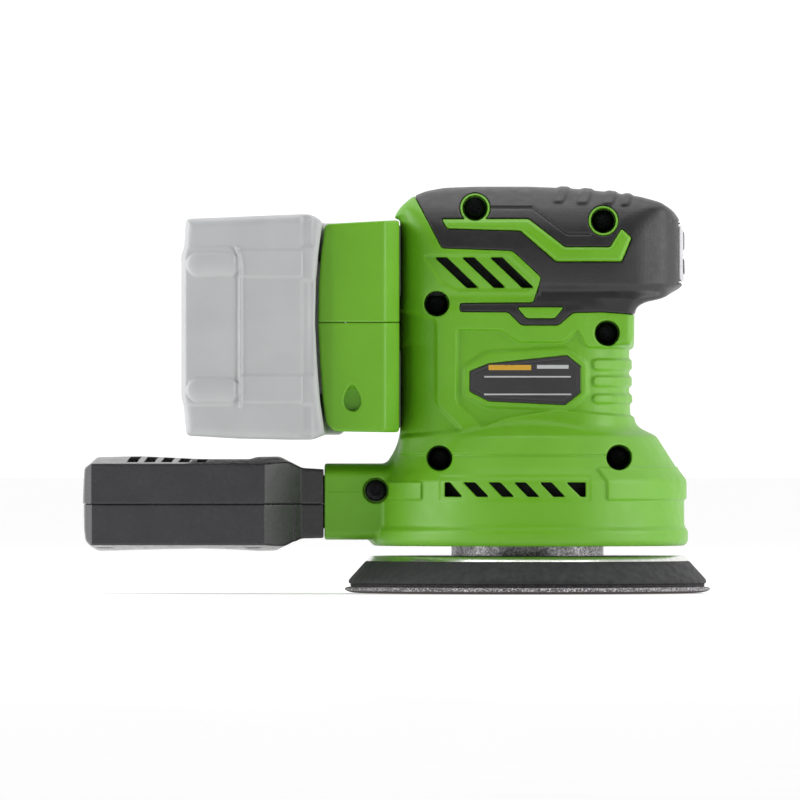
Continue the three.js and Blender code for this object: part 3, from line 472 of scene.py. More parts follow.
# Each step's outline, corner radius, height over the plain body and width of its slope.
RELIEF_STEPS = [
    (PANEL, 1.2, -1.3, 1.1),
    (LABEL_PAD, 1.5, 0.9, 1.6),
    (VENT_FRAME, 0.7, -0.25, 1.2),
    (WINDOW, 1.2, -0.6, 1.3),
]
RELIEF_STEPS += [(rib, 0.7, 0.9, 1.3) for rib in RIBS]
RELIEF_STEPS += [(ridge, 1.2, 0.6, 1.8) for ridge in RIDGES]
NOSE_GROOVES = ((48.6, 126.9), (50.2, 105.9))
CREASE_BACK, CREASE_HEIGHT = 4.0, 103.2


def relief(x, z):
    """How far the mouldings stand out, in mm, over the plain body."""
    out = np.zeros(x.shape)
    for outline, radius, height, slope in RELIEF_STEPS:
        out += height * step_up(local_distance(x, z, soft_outline(outline, radius)), slope)
    out -= 1.1 * step_up(outline_distance(x, z, soft_outline(FRAME_CORNER, 2)), 1.8)
    fade = np.clip((SHOULDER_TOP - z) / 14, 0, 1)
    out += 0.65 * fade * step_up(outline_distance(x, z, SHOULDER), 0.7)
    for panel in (PANEL_LEFT_EDGE, PANEL_RIGHT):
        out += 0.85 * step_up(outline_distance(x, z, soft_outline(panel)), 0.9)
    out += 0.75 * step_up(local_distance(x, z, soft_outline(STRIPE)) + 0.5, 1.3)
    out -= 0.55 * valley(path_distance(x, z, STRIPE_GROOVE), 0.75)
    out -= 0.9 * valley(np.abs(z - CREASE_HEIGHT) + np.maximum(CREASE_BACK - x, 0), 2.6)
    for start, height in NOSE_GROOVES:
        out -= 0.6 * valley(np.hypot(x - np.maximum(x, start), z - height), 0.6)
    for u, v in WELLS:
        out -= 0.35 * step_up(np.hypot(x - u, z - v) - WELL_RADIUS, 0.9)
    return out


def well_distance(x, z):
    return np.min([np.hypot(x - u, z - v) for u, v in WELLS], axis=0)


def grip_region(x, z):
    """Negative where the soft grip covers the housing."""
    region = outline_distance(x, z, soft_outline(GRIP_OUTLINE, 0.9))
    region = np.maximum(region, -local_distance(x, z, soft_outline(STRIPE)))
    region = np.maximum(region, -local_distance(x, z, soft_outline(ISLAND)))
    for u, v in WELLS[:2]:
        region = np.maximum(region, RIM_RADIUS - np.hypot(x - u, z - v))
    return region


def through_cuts(x, z):
    return np.min([local_distance(x, z, soft_outline(v, 0.3)) for v in UPPER_VENTS + LOWER_VENTS], axis=0)


RELIEF = side_chart(relief)
WELL = side_chart(well_distance)
GRIP_REGION = side_chart(grip_region)
CUTS = side_chart(through_cuts)
LABEL_CHART = side_chart(lambda x, z: local_distance(x, z, np.array(LABEL)))
NOSE_HALF_WIDTH, NOSE_LOW, NOSE_TOP = 13.5, 106.4, 125.9
RELIEF_BACK = -30.0              # behind this the relief is only on the two sides
EDGE = 0.5                       # rounding of moulded edges, mm


def body(x, y, z):
    """The outside with its relief, which leaves the flat back that meets the collar alone."""
    on_sides = np.where(x < RELIEF_BACK, np.clip((np.abs(y) - 16) / 8, 0, 1), 1)
    return plain_body(x, y, z) - RELIEF(x, z) * on_sides


def nose_opening(x, y, z):
    half_width = NOSE_HALF_WIDTH + CLEARANCE
    return block(x, y, z, (47, -half_width, NOSE_LOW - CLEARANCE),
                 (70, half_width, NOSE_TOP + CLEARANCE), 2.5)


def lead_hole(x, y, z, front):
    """Where the battery's leads pass from the collar into the trunk, as far forward as front."""
    return block(x, y, z, (-52, -13, 80), (front, 13, 104), 2)


def housing(x, y, z):
    outside = body(x, y, z)
    plain = plain_body(x, y, z)
    shell = np.maximum(outside, -cavity(x, y, z))
    well = WELL(x, z)
    shell = np.minimum(shell, np.maximum(well - POST_RADIUS, outside + 0.6))
    recess = np.maximum(GRIP_REGION(x, z), -(plain + GRIP_THICKNESS + 0.15))
    shell = smooth_max(shell, -recess, EDGE)
    shell = smooth_max(shell, -np.maximum(well - WELL_RADIUS, y - SCREW_SEAT), EDGE)
    shell = np.maximum(shell, -np.maximum(well - SHANK_HOLE_RADIUS, np.abs(y) - 16))
    vents = np.maximum(CUTS(x, z), np.where(z > 80, 22, 30) - np.abs(y))
    shell = smooth_max(shell, -vents, EDGE)
    plate = np.maximum(LABEL_CHART(x, z) - 0.15, y + TRUNK_HALF_WIDTH - 1.0)
    shell = smooth_max(shell, -plate, 0.3)
    shell = np.maximum(shell, -lead_hole(x, y, z, -38))
    return np.maximum(shell, -nose_opening(x, y, z))


def soft_grip(x, y, z):
    skin = np.maximum(body(x, y, z), -(plain_body(x, y, z) + GRIP_THICKNESS))
    skin = smooth_max(skin, GRIP_REGION(x, z) + 0.15, EDGE)
    return np.maximum(skin, -nose_opening(x, y, z))


SHADE_SCREEN_RADIUS = 46.2


def vent_shade_screen(side):
    """A ribbed air guide just inside the upper vents of one half, made dark as painted shade so that the
    vents read black.
    """
    def field(x, y, z):
        plate = block(x, side * y, z, (-36.5, 23.4, 101.5), (6.5, 25.0, 116.5), 0.6)
        ribs = block(x, side * y, z, (-36, 24, 102), (6, 26.4, 116))
        ribs = np.maximum(ribs, np.abs((x + z) % 6 - 3) - 0.7)
        return np.minimum(plate, ribs)
    return field


def skirt_shade_screen(side):
    """A dark curved strip of painted shade just inside the lower vents of one half, so that the vents read
    black.
    """
    def field(x, y, z):
        strip = np.maximum(np.abs(np.hypot(x, y) - SHADE_SCREEN_RADIUS) - 0.6, -side * y)
        return smooth_max(strip, np.maximum(slab(z, 31, 40), slab(x, -33, 23)), 0.4)
    return field


def half(field, side):
    """The part of a field on one side of the tool's middle plane; side is -1 right, +1 left."""
    return lambda x, y, z: smooth_max(field(x, y, z), GAP - side * y, 0.3)


# ---------------- collar, battery and dust box shapes

COLLAR_FRONT, COLLAR_FAR = box("collar_upper")[1][:2]
COLLAR_NEAR = min(box("collar_upper")[0][1], box("collar_lower")[0][1])
COLLAR_SEAM = (box("collar_upper")[0][2] + box("collar_lower")[1][2]) / 2
COLLAR_SIDE = chart(rounded([
    (COLLAR_FRONT, 55.0), (COLLAR_FRONT, 127.3), (-48, 127.1), (-69.6, 125.9), (-70.9, 116),
    (-71.7, 106), (-72, 92.3), (-71.3, 78), (-70.3, 65.5), (-69.2, 58.2), (-66.6, 55.3), (-48, 55),
], 1.6))
CHAMFER_LENGTH, CHAMFER_DEPTH = 5.2, 8.0
COLLAR_PLAN = chart(rounded([
    (-76, COLLAR_NEAR + 2.6), (-72, COLLAR_NEAR + 1.3), (-67, COLLAR_NEAR),
    (COLLAR_FRONT - CHAMFER_LENGTH, COLLAR_NEAR), (COLLAR_FRONT, COLLAR_NEAR + CHAMFER_DEPTH),
    (COLLAR_FRONT, COLLAR_FAR - CHAMFER_DEPTH), (COLLAR_FRONT - CHAMFER_LENGTH, COLLAR_FAR),
    (-76, COLLAR_FAR),
], 1.0))
FLANGE_BACK, FLANGE_FRONT, FLANGE_HALF, NECK_HALF, RAIL_Z = -67.6, -63.0, 26.5, 22.5, 90.5
GASKET_SEAT = box("collar_gasket")[0][0] - CLEARANCE
POCKET_DEPTH = 2.7
TEARDROP = chart(rounded([
    (-60.4, 71.9), (-58.2, 68.8), (-57.1, 65.6), (-58, 62.9), (-60.2, 61.9), (-62.5, 62.9),
    (-63.5, 65.6), (-62.6, 68.8),
], 2), margin=8)


def collar(x, y, z):
    outer = smooth_max(COLLAR_SIDE(x, z), COLLAR_PLAN(x, y), 1.0)
    depth = np.clip((72 - z) * 1.1, 0, POCKET_DEPTH)
    pocket = np.maximum(TEARDROP(x, z), y - COLLAR_NEAR - depth)
    outer = smooth_max(outer, -pocket, 0.4)
    near = COLLAR_NEAR + 3.4
    neck_half, flange_half = NECK_HALF + CLEARANCE, FLANGE_HALF + CLEARANCE
    neck = block(x, y, z, (-90, near, RAIL_Z - neck_half), (-67, 70, RAIL_Z + neck_half), 0.8)
    flange = block(x, y, z, (FLANGE_BACK - CLEARANCE, near, RAIL_Z - flange_half),
                   (FLANGE_FRONT + CLEARANCE, 70, RAIL_Z + flange_half), 0.5)
    inner = block(x, y, z, (FLANGE_FRONT - 1, COLLAR_NEAR + 8.6, 59.5),
                  (GASKET_SEAT - WALL, COLLAR_FAR - 9, 122), 2)
    leads = lead_hole(x, y, z, -40)
    gasket = block(x, y, z, (GASKET_SEAT, -27.3, 56.2), (COLLAR_FRONT + 5, 27.3, 125.8), 3)
    hollow = np.minimum(np.minimum(neck, flange), np.minimum(inner, np.minimum(leads, gasket)))
    return smooth_max(outer, -hollow, 0.4)


PACK_LOW = box("battery_outer_case")[0]
PACK_HIGH = box("battery_inner_case")[1]
PACK_SEAM = (box("battery_outer_case")[1][0] + box("battery_inner_case")[0][0]) / 2
PACK_SIDE = chart(rounded([
    (PACK_LOW[0] + 1.8, 53.9), (PACK_SEAM, 52.9), (-81.7, 52.5), (-73.6, 52.5), (-69.7, 54.2),
    (-70.2, 58.2), (-71.3, 65.5), (-72.3, 78), (-73, 92.3), (-72.7, 106), (-71.9, 116), (-70.6, 125.6),
    (-70.9, 127.1), (-74.4, 129.2), (-78.3, 129.2), (PACK_SEAM, 128.3), (PACK_LOW[0] + 1.6, 127.6),
    (PACK_LOW[0] + 0.9, 117.5), (PACK_LOW[0], 115.8), (PACK_LOW[0], 66.6), (PACK_LOW[0] + 0.7, 64.8),
], 1.4))
PILLS = (112.1, 69.4)
PILL_BACK, PILL_FRONT, PILL_RADIUS = -112.6, -102.4, 4.1
RAISED_COLUMN = [(-117.4, 117.9), (-100.2, 117.9), (-100.2, 64.3), (-117.4, 64.3)]
INNER_BANDS = [[(-98.9, z + 4.9), (-77.4, z + 4.9), (-77.4, z - 4.2), (-98.9, z - 4.2)] for z in PILLS]
LIGHT_STRIPS = [[(-77.5, high), (-73.8, high), (-73.8, low), (-77.5, low)]
                for high, low in ((128.4, 118.2), (106.6, 74.4), (64.4, 53.4))]


def pack_relief(x, z):
    out = 0.5 * step_up(local_distance(x, z, rounded(RAISED_COLUMN, 2.5)), 1.2)
    bead = PACK_SEAM + 0.3 + 1.1 * np.max([valley(z - height, 6) for height in PILLS], axis=0)
    seam = np.abs(x - bead) + np.maximum(np.abs(z - 90.9) - 27, 0)
    out += 0.8 * valley(seam, 1.1)
    for z_pill in PILLS:
        along = np.clip(x, PILL_BACK, PILL_FRONT)
        pill = np.hypot(x - along, z - z_pill)
        out += 1.3 * np.sqrt(np.clip(1 - (pill / PILL_RADIUS) ** 2, 0, 1))
    for outline in INNER_BANDS:
        out += 0.5 * step_up(local_distance(x, z, rounded(outline, 1)), 0.8)
    for outline in LIGHT_STRIPS:
        out -= 0.7 * step_up(local_distance(x, z, rounded(outline, 1)), 2.0)
    return out


END_PANEL = [(-16, 74), (-13, 71), (37, 71), (40, 74), (40, 107), (37, 110), (-13, 110), (-16, 107)]


def pack_end_relief(y, z):
    """A sunk panel with level ribs on the battery's outer end."""
    inside = local_distance(y, z, rounded(END_PANEL, 2))
    out = -0.8 * step_up(inside, 1.2)
    rib = np.maximum(np.abs((z - 90.5 + 3.5) % 7 - 3.5) - 1.1, inside + 4)
    return out + 0.6 * step_up(rib, 0.9)


PACK_RELIEF = Chart(pack_relief, (-122, 48), (-60, 134), 0.2)
PACK_END_RELIEF = Chart(pack_end_relief, (-60, 44), (80, 140), 0.25)
LATCH_LOW, LATCH_HIGH = box("battery_latch")


def battery(x, y, z):
    ends = slab(y, PACK_LOW[1] + 1.8, PACK_HIGH[1])
    outer = smooth_max(PACK_SIDE(x, z), ends, 3.5)
    outer = outer - PACK_RELIEF(x, z) * np.clip(-y / 20, 0, 1)
    outer = outer - PACK_END_RELIEF(y, z) * np.clip((-105 - x) / 4, 0, 1)
    stop = block(x, y, z, (-82, COLLAR_FAR + CLEARANCE, 54), (FLANGE_FRONT, PACK_HIGH[1], 126.8), 2.5)
    neck = block(x, y, z, (-76, COLLAR_NEAR + 6, RAIL_Z - NECK_HALF),
                 (FLANGE_FRONT, COLLAR_FAR + 3, RAIL_Z + NECK_HALF), 0.6)
    rail = block(x, y, z, (FLANGE_BACK + CLEARANCE, COLLAR_NEAR + 6, RAIL_Z - FLANGE_HALF),
                 (FLANGE_FRONT, COLLAR_FAR + 3, RAIL_Z + FLANGE_HALF), 0.6)
    whole = np.minimum(np.minimum(smooth_min(outer, stop, 1), neck), rail)
    hollow = np.maximum(PACK_SIDE(x, z) + WALL, slab(y, PACK_LOW[1] + WALL + 1, PACK_HIGH[1] - WALL))
    board = block(x, y, z, (-80, -8, 73), (FLANGE_BACK + 1.4, 40, 108), 0.5)
    for i in (-1, 0, 1):
        slot = block(x, y, z, (FLANGE_BACK - 1, -60, RAIL_Z + 9 * i - 1.2),
                     (FLANGE_FRONT + 3, -12, RAIL_Z + 9 * i + 1.2), 0.3)
        board = np.minimum(board, slot)
    latch = block(x, y, z, LATCH_LOW - (CLEARANCE, 4, CLEARANCE),
                  LATCH_HIGH + (CLEARANCE, 6, CLEARANCE), 1.2)
    whole = smooth_max(whole, -np.minimum(hollow, board), 0.3)
    return smooth_max(whole, -latch, EDGE)


def latch_button(x, y, z):
    cap = block(x, y, z, LATCH_LOW, LATCH_HIGH, 1.2)
    middle = (LATCH_LOW[2] + LATCH_HIGH[2]) / 2
    wave = 0.7 * valley(np.abs((z - middle + 1.75) % 3.5 - 1.75), 1.4)
    return cap + wave * (np.abs(z - middle) < 10.5) * (y > LATCH_HIGH[1] - 3)


BOX_LOW = np.minimum(box("dust_box_upper")[0], box("dust_box_lower")[0])
BOX_SEAM = (box("dust_box_upper")[0][2] + box("dust_box_lower")[1][2]) / 2
NECK_END = DUCT_END - 0.35
BOX_SIDE = chart(rounded([
    (-147, 14), (-134, 14.5), (-112, 15), (-100, 14.6), (-92, 14), (-86.5, 14.2), (-77.8, 18.7),
    (-69.5, 18.9), (-69.5, 42.3), (-77.6, 42.8), (-85.4, 46.8), (-93, 46.6), (-95.5, 45.8),
    (-112.5, 45.8), (-133, 46.9), (-147.6, 46.5), (-149.6, 44.4), (-151.8, 42.7), (BOX_LOW[0], 31.4),
    (-152.3, 22), (-151.7, 18), (-149.6, 15.6),
], 0.8))
BOX_PLAN = chart(rounded(mirrored([
    (BOX_LOW[0] + 0.1, 18), (-151.8, 23.5), (-149.4, 28.9), (-90.6, 28.9), (-77.6, 19.5), (-69.5, 19.3),
]), 0.45))
BOX_FRONT = chart(rounded(mirrored([
    (13.9, 4), (16.3, 28.9), (44.3, 28.9), (47, 4),
]), 0.5))
SPIGOT_END, SPIGOT_HALF, SPIGOT_BOTTOM, SPIGOT_TOP = -59.5, 14.6, 22.2, 40.2
BOX_VENTS = [-134.6 + 5.9 * i for i in range(5)]
BOX_FEET = [(x, y) for x in (-144.8, -94) for y in (-20, 20)]
BOX_WALL, SPIGOT_WALL = 2.1, 1.8


def dust_box(x, y, z):
    across = smooth_max(BOX_PLAN(x, y), BOX_FRONT(z, y), 0.5)
    outer = smooth_max(smooth_max(BOX_SIDE(x, z), across, 0.8), x - NECK_END, 0.4)
    step = 0.25 * step_up(z - BOX_SEAM, 0.3) * (x < -80)
    spigot = block(x, y, z, (NECK_END - 4, -SPIGOT_HALF, SPIGOT_BOTTOM),
                   (SPIGOT_END, SPIGOT_HALF, SPIGOT_TOP), 3)
    whole = np.minimum(outer + step, spigot)
    inside = smooth_max(np.maximum(BOX_SIDE(x, z), across), x - NECK_END, 0.6) + BOX_WALL
    bore = block(x, y, z, (-80, SPIGOT_WALL - SPIGOT_HALF, SPIGOT_BOTTOM + SPIGOT_WALL),
                 (SPIGOT_END + 6, SPIGOT_HALF - SPIGOT_WALL, SPIGOT_TOP - SPIGOT_WALL), 2)
    whole = np.maximum(whole, -np.minimum(inside, bore))
    for vent in BOX_VENTS:
        slot = np.maximum(np.abs(x - vent - (z - 46) * 0.7) - 1.7, slab(np.abs(y), 5, 24))
        slot = np.maximum(slot, 40 - z)
        whole = smooth_max(whole, -slot, EDGE)
    for u, v in BOX_FEET:
        dimple = np.maximum(np.hypot(x - u, y - v) - 2.9, z - 15.6)
        whole = smooth_max(whole, -dimple, EDGE)
    return whole


def above(field, seam):
    return lambda x, y, z: smooth_max(field(x, y, z), seam + SEAM_GAP - z, 0.3)


def below(field, seam):
    return lambda x, y, z: smooth_max(field(x, y, z), z - seam + SEAM_GAP, 0.3)


# ---------------- nose panel and rating plate

# Each button's height above the abrasive, half width and half height.
BUTTONS = {"power": (120.4, 6.4, 3.5), "speed": (111.6, 8.4, 2.9)}
PANEL_BACK = 50.6


def nose_surface(x, y, z):
    return smooth_max(HEAD_PLAN(x, y), HEAD_SIDE(x, z), 1.5)


def button_outline(y, z, name, margin):
    height, half_width, half_height = BUTTONS[name]
    return block(y, z, 0 * z, (-half_width - margin, height - half_height - margin, -5),
                 (half_width + margin, height + half_height + margin, 5), 2.5)


def nose_panel(x, y, z):
    panel = block(x, y, z, (PANEL_BACK, -NOSE_HALF_WIDTH, NOSE_LOW), (60, NOSE_HALF_WIDTH, NOSE_TOP), 2.3)
    panel = smooth_max(np.maximum(panel, PANEL_BACK - x), nose_surface(x, y, z) + 0.1, 0.8)
    for name in BUTTONS:
        panel = smooth_max(panel, -button_outline(y, z, name, CLEARANCE), EDGE)
    return panel


def button(name):
    def field(x, y, z):
        cap = np.maximum(button_outline(y, z, name, 0), 49.2 - x)
        cap = smooth_max(cap, nose_surface(x, y, z) - 0.2, 1.0)
        flange = np.maximum(button_outline(y, z, name, 0.6), np.abs(x - 49.75) - 0.55)
        return np.minimum(cap, flange)
    return field


def rating_plate(x, y, z):
    front = -TRUNK_HALF_WIDTH + 0.05
    plate = np.maximum(LABEL_CHART(x, z), slab(y, front, front + 0.65))
    border = valley(np.abs(LABEL_CHART(x, z) + 1.1), 0.3)
    return smooth_max(plate, front + 0.12 * border - y, 0.2)


# ---------------- turned and drilled pieces

def circle(middle, radius, count=40):
    angles = np.arange(count) * 2 * math.pi / count
    return [(middle[0] + radius * math.cos(a), middle[1] + radius * math.sin(a)) for a in angles]


def ring(shape, outline, height):
    """New vertices on an outline in the XY plane, given in millimetres."""
    return [shape.verts.new((u * MM, v * MM, height * MM)) for u, v in outline]


def turned(name, profile, middle, segments=180):
    """An object turned about a vertical axis through middle from [radius, height] pairs in millimetres.

    A profile that starts on the axis also ends on it; any other is a closed loop.
    """
    shape = bmesh.new()
    rings = []
    for radius, height in profile:
        if radius == 0:
            rings.append(ring(shape, [middle], height) * segments)
        else:
            rings.append(ring(shape, circle(middle, radius, segments), height))
    pairs = list(zip(rings, rings[1:]))
    if profile[0][0] > 0:
        pairs.append((rings[-1], rings[0]))
    for low, high in pairs:
        for i in range(segments):
            j = (i + 1) % segments
            corners = dict.fromkeys((low[i], low[j], high[j], high[i]))
            if len(corners) > 2:
                shape.faces.new(corners)
    bmesh.ops.recalc_face_normals(shape, faces=shape.faces)
    return to_object(name, shape)


def to_object(name, shape):
    mesh = bpy.data.meshes.new(name)
    shape.to_mesh(mesh)
    shape.free()
    return bpy.data.objects.new(name, mesh)


def smooth_by_angle(piece, degrees=32):
    piece.data.shade_smooth()
    piece.data.set_sharp_from_angle(angle=math.radians(degrees))


def prisms(outlines, low, high):
    """Upright prisms on outlines in the XY plane, as one cutter object."""
    shape = bmesh.new()
    for outline in outlines:
        lower, upper = ring(shape, outline, low), ring(shape, outline, high)
        shape.faces.new(lower[::-1])
        shape.faces.new(upper)
        for i in range(len(outline)):
            j = (i + 1) % len(outline)
            shape.faces.new((lower[i], lower[j], upper[j], upper[i]))
    return to_object("cutter", shape)


def carved(piece, cutter):
    """The piece with the cutter's volume taken away."""
    scene.collection.objects.link(piece)
    scene.collection.objects.link(cutter)
    step = piece.modifiers.new("carve", "BOOLEAN")
    step.object, step.operation, step.solver = cutter, "DIFFERENCE", "EXACT"
    result = bpy.data.meshes.new_from_object(piece.evaluated_get(bpy.context.evaluated_depsgraph_get()))
    name = piece.name
    for done in (piece, cutter):
        mesh = done.data
        bpy.data.objects.remove(done)
        bpy.data.meshes.remove(mesh)
    result.name = name
    return bpy.data.objects.new(name, result)


PAD = centre("abrasive_disc")[:2]
DISC_RADIUS = (box("abrasive_disc")[1][0] - box("abrasive_disc")[0][0]) / 2
HOLE_COUNT, HOLE_CIRCLE, HOLE_RADIUS = 8, 32.5, 5.0
CUTTER_HEIGHTS = -3, 16          # below the abrasive and above the backing plate
PLATE_TOP = box("pad_plate")[1][2]
HUB_TOP = box("pad_hub")[1][2]
HOLE_ANGLES = [(i + 0.5) * 2 * math.pi / HOLE_COUNT for i in range(HOLE_COUNT)]
HOLES = [PAD + HOLE_CIRCLE * np.array((math.cos(a), math.sin(a))) for a in HOLE_ANGLES]
# Each layer's [radius, height] profile, slot and material.
PAD_PROFILES = {
    "abrasive_disc": ([(0, 0), (57, 0), (59.5, 0.15), (61.4, 0.55), (62.2, 0.95), (DISC_RADIUS, 1.3),
                       (DISC_RADIUS, 1.6), (62.2, 1.9), (61.3, 2.15), (60.0, 2.25), (57, 2.3), (0, 2.3)],
                      "abrasive", "abrasive"),
    "hook_layer": ([(9, 2.2), (60.2, 2.2), (60.6, 2.5), (60.6, 3.0), (60.2, 3.4), (9, 3.4)],
                   "grip_rubber", "hook_layer"),
    "pad_foam": ([(9, 3.2), (60.7, 3.2), (61.1, 3.45), (61.2, 3.9), (61.15, 4.4), (60.85, 4.9),
                  (55.5, 10.75), (55.2, 10.9), (9, 10.9)], "foam", "foam"),
    "pad_plate": ([(3.2, 10.85), (55.0, 10.85), (55.1, 11.0), (53.8, 12.65), (53.5, PLATE_TOP),
                   (3.2, PLATE_TOP)], "pad_plate", "pad_plate"),
}


def radial_box(angle, start, end, half_width):
    along = np.array((math.cos(angle), math.sin(angle)))
    across = np.array((-math.sin(angle), math.cos(angle)))
    return [PAD + along * u + across * v for u, v in (
        (start, -half_width), (end, -half_width), (end, half_width), (start, half_width))]


def pad_holes(name):
    """The openings through one layer: dust holes, or slots in the plate."""
    if name == "pad_plate":
        return [radial_box(angle, 14.5, 22, 3) for angle in HOLE_ANGLES]
    extra = CLEARANCE if name == "hook_layer" else 0
    return [circle(hole, HOLE_RADIUS + extra) for hole in HOLES]


def pad_layers():
    for name, (profile, slot, material) in PAD_PROFILES.items():
        piece = carved(turned(name + "_skin", profile, PAD), prisms(pad_holes(name), *CUTTER_HEIGHTS))
        smooth_by_angle(piece)
        link(piece, "pad", slot, material)
        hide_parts(name)


HUB_BASE = PLATE_TOP - 0.1
HUB_RADIUS, HUB_HALF_WALL, BOSS_RADIUS, BORE_RADIUS = 24, 2, 9, 5.3


def hub(x, y, z):
    """The cast ring, its boss and four lower spokes between them."""
    u, v = x - PAD[0], y - PAD[1]
    radius = np.hypot(u, v)
    full_height = slab(z, HUB_BASE, HUB_TOP)
    rim = np.maximum(np.abs(radius - HUB_RADIUS) - HUB_HALF_WALL, full_height)
    boss = np.maximum(radius - BOSS_RADIUS, full_height)
    spokes = np.minimum(np.abs(u), np.abs(v)) - HUB_HALF_WALL
    spokes = np.maximum(np.maximum(spokes, radius - HUB_RADIUS + 1), slab(z, HUB_BASE, HUB_TOP - 1.5))
    whole = smooth_min(smooth_min(rim, spokes, 1.2), boss, 1.2)
    return smooth_max(whole, BORE_RADIUS - radius, EDGE)


def screw(name, head_radius, shank_radius, length, seat, node):
    """A pan-head screw along +Y with a six-lobed recess, its head resting on seat."""
    height = head_radius * 0.75
    profile = [(0, height), (head_radius * 0.6, height), (head_radius * 0.85, height * 0.86),
               (head_radius * 0.97, height * 0.6), (head_radius, height * 0.3), (head_radius, 0),
               (shank_radius, 0)]
    pitch = 1.2
    for i in range(int((length - 3) / pitch)):
        profile += [(shank_radius, -0.6 - i * pitch), (shank_radius * 0.78, -0.95 - i * pitch)]
    profile += [(shank_radius * 0.5, -length), (0, -length)]
    lobes = []
    for a in np.arange(48) * math.pi / 24:
        reach = head_radius * (0.47 + 0.08 * math.cos(6 * a))
        lobes.append((reach * math.cos(a), reach * math.sin(a)))
    piece = carved(turned(name, profile, (0, 0), 48), prisms([lobes], height * 0.3, height + 2))
    piece.data.transform(Matrix.Translation(np.array(seat) * MM) @ Matrix.Rotation(math.pi / 2, 4, "X"))
    smooth_by_angle(piece)
    link(piece, "housing", "dark_steel")
    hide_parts(node)


# ---------------- materials

def tint(red, green, blue):
    """Display colour values from 0 to 255 as linear RGBA."""
    values = [value / 255 for value in (red, green, blue)]
    return [((v + 0.055) / 1.055) ** 2.4 if v > 0.04 else v / 12.92 for v in values] + [1]


class Nodes:
    """A material's node tree with short ways to add what the surfaces here need."""

    def __init__(self, name, **sockets):
        self.material = bpy.data.materials.new(name)
        self.material.use_nodes = True
        self.tree = self.material.node_tree
        self.shader = self.tree.nodes["Principled BSDF"]
        for socket, value in sockets.items():
            self.shader.inputs[socket.replace("_", " ")].default_value = value
        self.place = self.add("ShaderNodeTexCoord").outputs["Object"]

    def add(self, kind, **values):
        node = self.tree.nodes.new(kind)
        for key, value in values.items():
            setattr(node, key, value)
        return node

    def link(self, start, end):
        self.tree.links.new(start, end)

    def noise(self, size, detail=2.0, roughness=0.5, stretch=(1, 1, 1)):
        """Noise whose features are about size millimetres across."""
        mapping = self.add("ShaderNodeMapping")
        mapping.inputs["Scale"].default_value = stretch
        self.link(self.place, mapping.inputs["Vector"])
        noise = self.add("ShaderNodeTexNoise")
        noise.inputs["Scale"].default_value = 1 / (size * MM)
        noise.inputs["Detail"].default_value = detail
        noise.inputs["Roughness"].default_value = roughness
        self.link(mapping.outputs["Vector"], noise.inputs["Vector"])
        return noise.outputs["Fac"]

    def cells(self, size, feature="F1"):
        cells = self.add("ShaderNodeTexVoronoi", feature=feature)
        cells.inputs["Scale"].default_value = 1 / (size * MM)
        self.link(self.place, cells.inputs["Vector"])
        return cells.outputs["Distance"]

    def ramp(self, value, stops):
        ramp = self.add("ShaderNodeValToRGB")
        elements = ramp.color_ramp.elements
        while len(elements) < len(stops):
            elements.new(0.5)
        for element, (position, colour) in zip(elements, stops):
            element.position = position
            element.color = colour
        self.link(value, ramp.inputs["Fac"])
        return ramp.outputs["Color"]

    def span(self, value, low, high, start=0.3, end=0.7):
        """The value, which lies mostly between start and end, mapped to run from low to high."""
        span = self.add("ShaderNodeMapRange")
        for socket, number in (("From Min", start), ("From Max", end), ("To Min", low), ("To Max", high)):
            span.inputs[socket].default_value = number
        self.link(value, span.inputs["Value"])
        return span.outputs["Result"]

    def bump(self, height, depth):
        """Bump from a height that runs from 0 to 1 over depth millimetres; calls add up."""
        bump = self.add("ShaderNodeBump")
        bump.inputs["Strength"].default_value = 1.0
        bump.inputs["Distance"].default_value = depth * MM
        self.link(height, bump.inputs["Height"])
        before = self.shader.inputs["Normal"]
        if before.is_linked:
            self.link(before.links[0].from_socket, bump.inputs["Normal"])
        self.link(bump.outputs["Normal"], before)

    def colour(self, output):
        self.link(output, self.shader.inputs["Base Color"])

    def roughness(self, output):
        self.link(output, self.shader.inputs["Roughness"])

    def finish(self, tone, dark, light, wear, low, high, *bumps):
        """Two tones over one noise, roughness from low to high over another, then each (height, depth)."""
        self.colour(self.ramp(tone, [(0.3, tint(*dark)), (0.7, tint(*light))]))
        self.roughness(self.span(wear, low, high))
        for height, depth in bumps:
            self.bump(height, depth)
        return self.material


def plastic(name, dark, light, low, high, grain=0.35, depth=0.02):
    """Moulded plastic: a fine spark-eroded grain, slow tone changes and faint flow and handling marks."""
    nodes = Nodes(name)
    return nodes.finish(nodes.noise(14, 3), dark, light, nodes.noise(4, 4, 0.6), low, high,
                        (nodes.noise(grain, 2, 0.6), depth), (nodes.noise(9, 1), 0.03))


def metal(name, dark, light, low, high, size, depth, stretch=(1, 1, 1)):
    nodes = Nodes(name, Metallic=1.0)
    grain = nodes.noise(size, 4, 0.65, stretch)
    nodes.colour(nodes.ramp(grain, [(0.3, tint(*dark)), (0.72, tint(*light))]))
    nodes.roughness(nodes.span(grain, high, low))
    nodes.bump(grain, depth)
    return nodes.material


def cast_metal():
    """Shot-blasted die casting: bright flecks in a dull grey skin."""
    nodes = Nodes("cast_aluminium", Metallic=1.0)
    flecks, skin = nodes.noise(0.75, 3, 0.8), nodes.noise(5, 2)
    nodes.colour(nodes.ramp(flecks, [(0.4, tint(132, 129, 132)), (0.52, tint(206, 203, 206)),
                                     (0.66, tint(255, 255, 255))]))
    nodes.roughness(nodes.span(skin, 0.3, 0.6))
    nodes.bump(flecks, 0.16)
    return nodes.material


def foam():
    nodes = Nodes("foam")
    return nodes.finish(nodes.noise(7, 4, 0.6), (36, 36, 38), (43, 43, 45), nodes.noise(2.5, 3), 0.62, 0.9,
                        (nodes.cells(0.55), 0.05), (nodes.noise(0.3, 3, 0.7), 0.05))


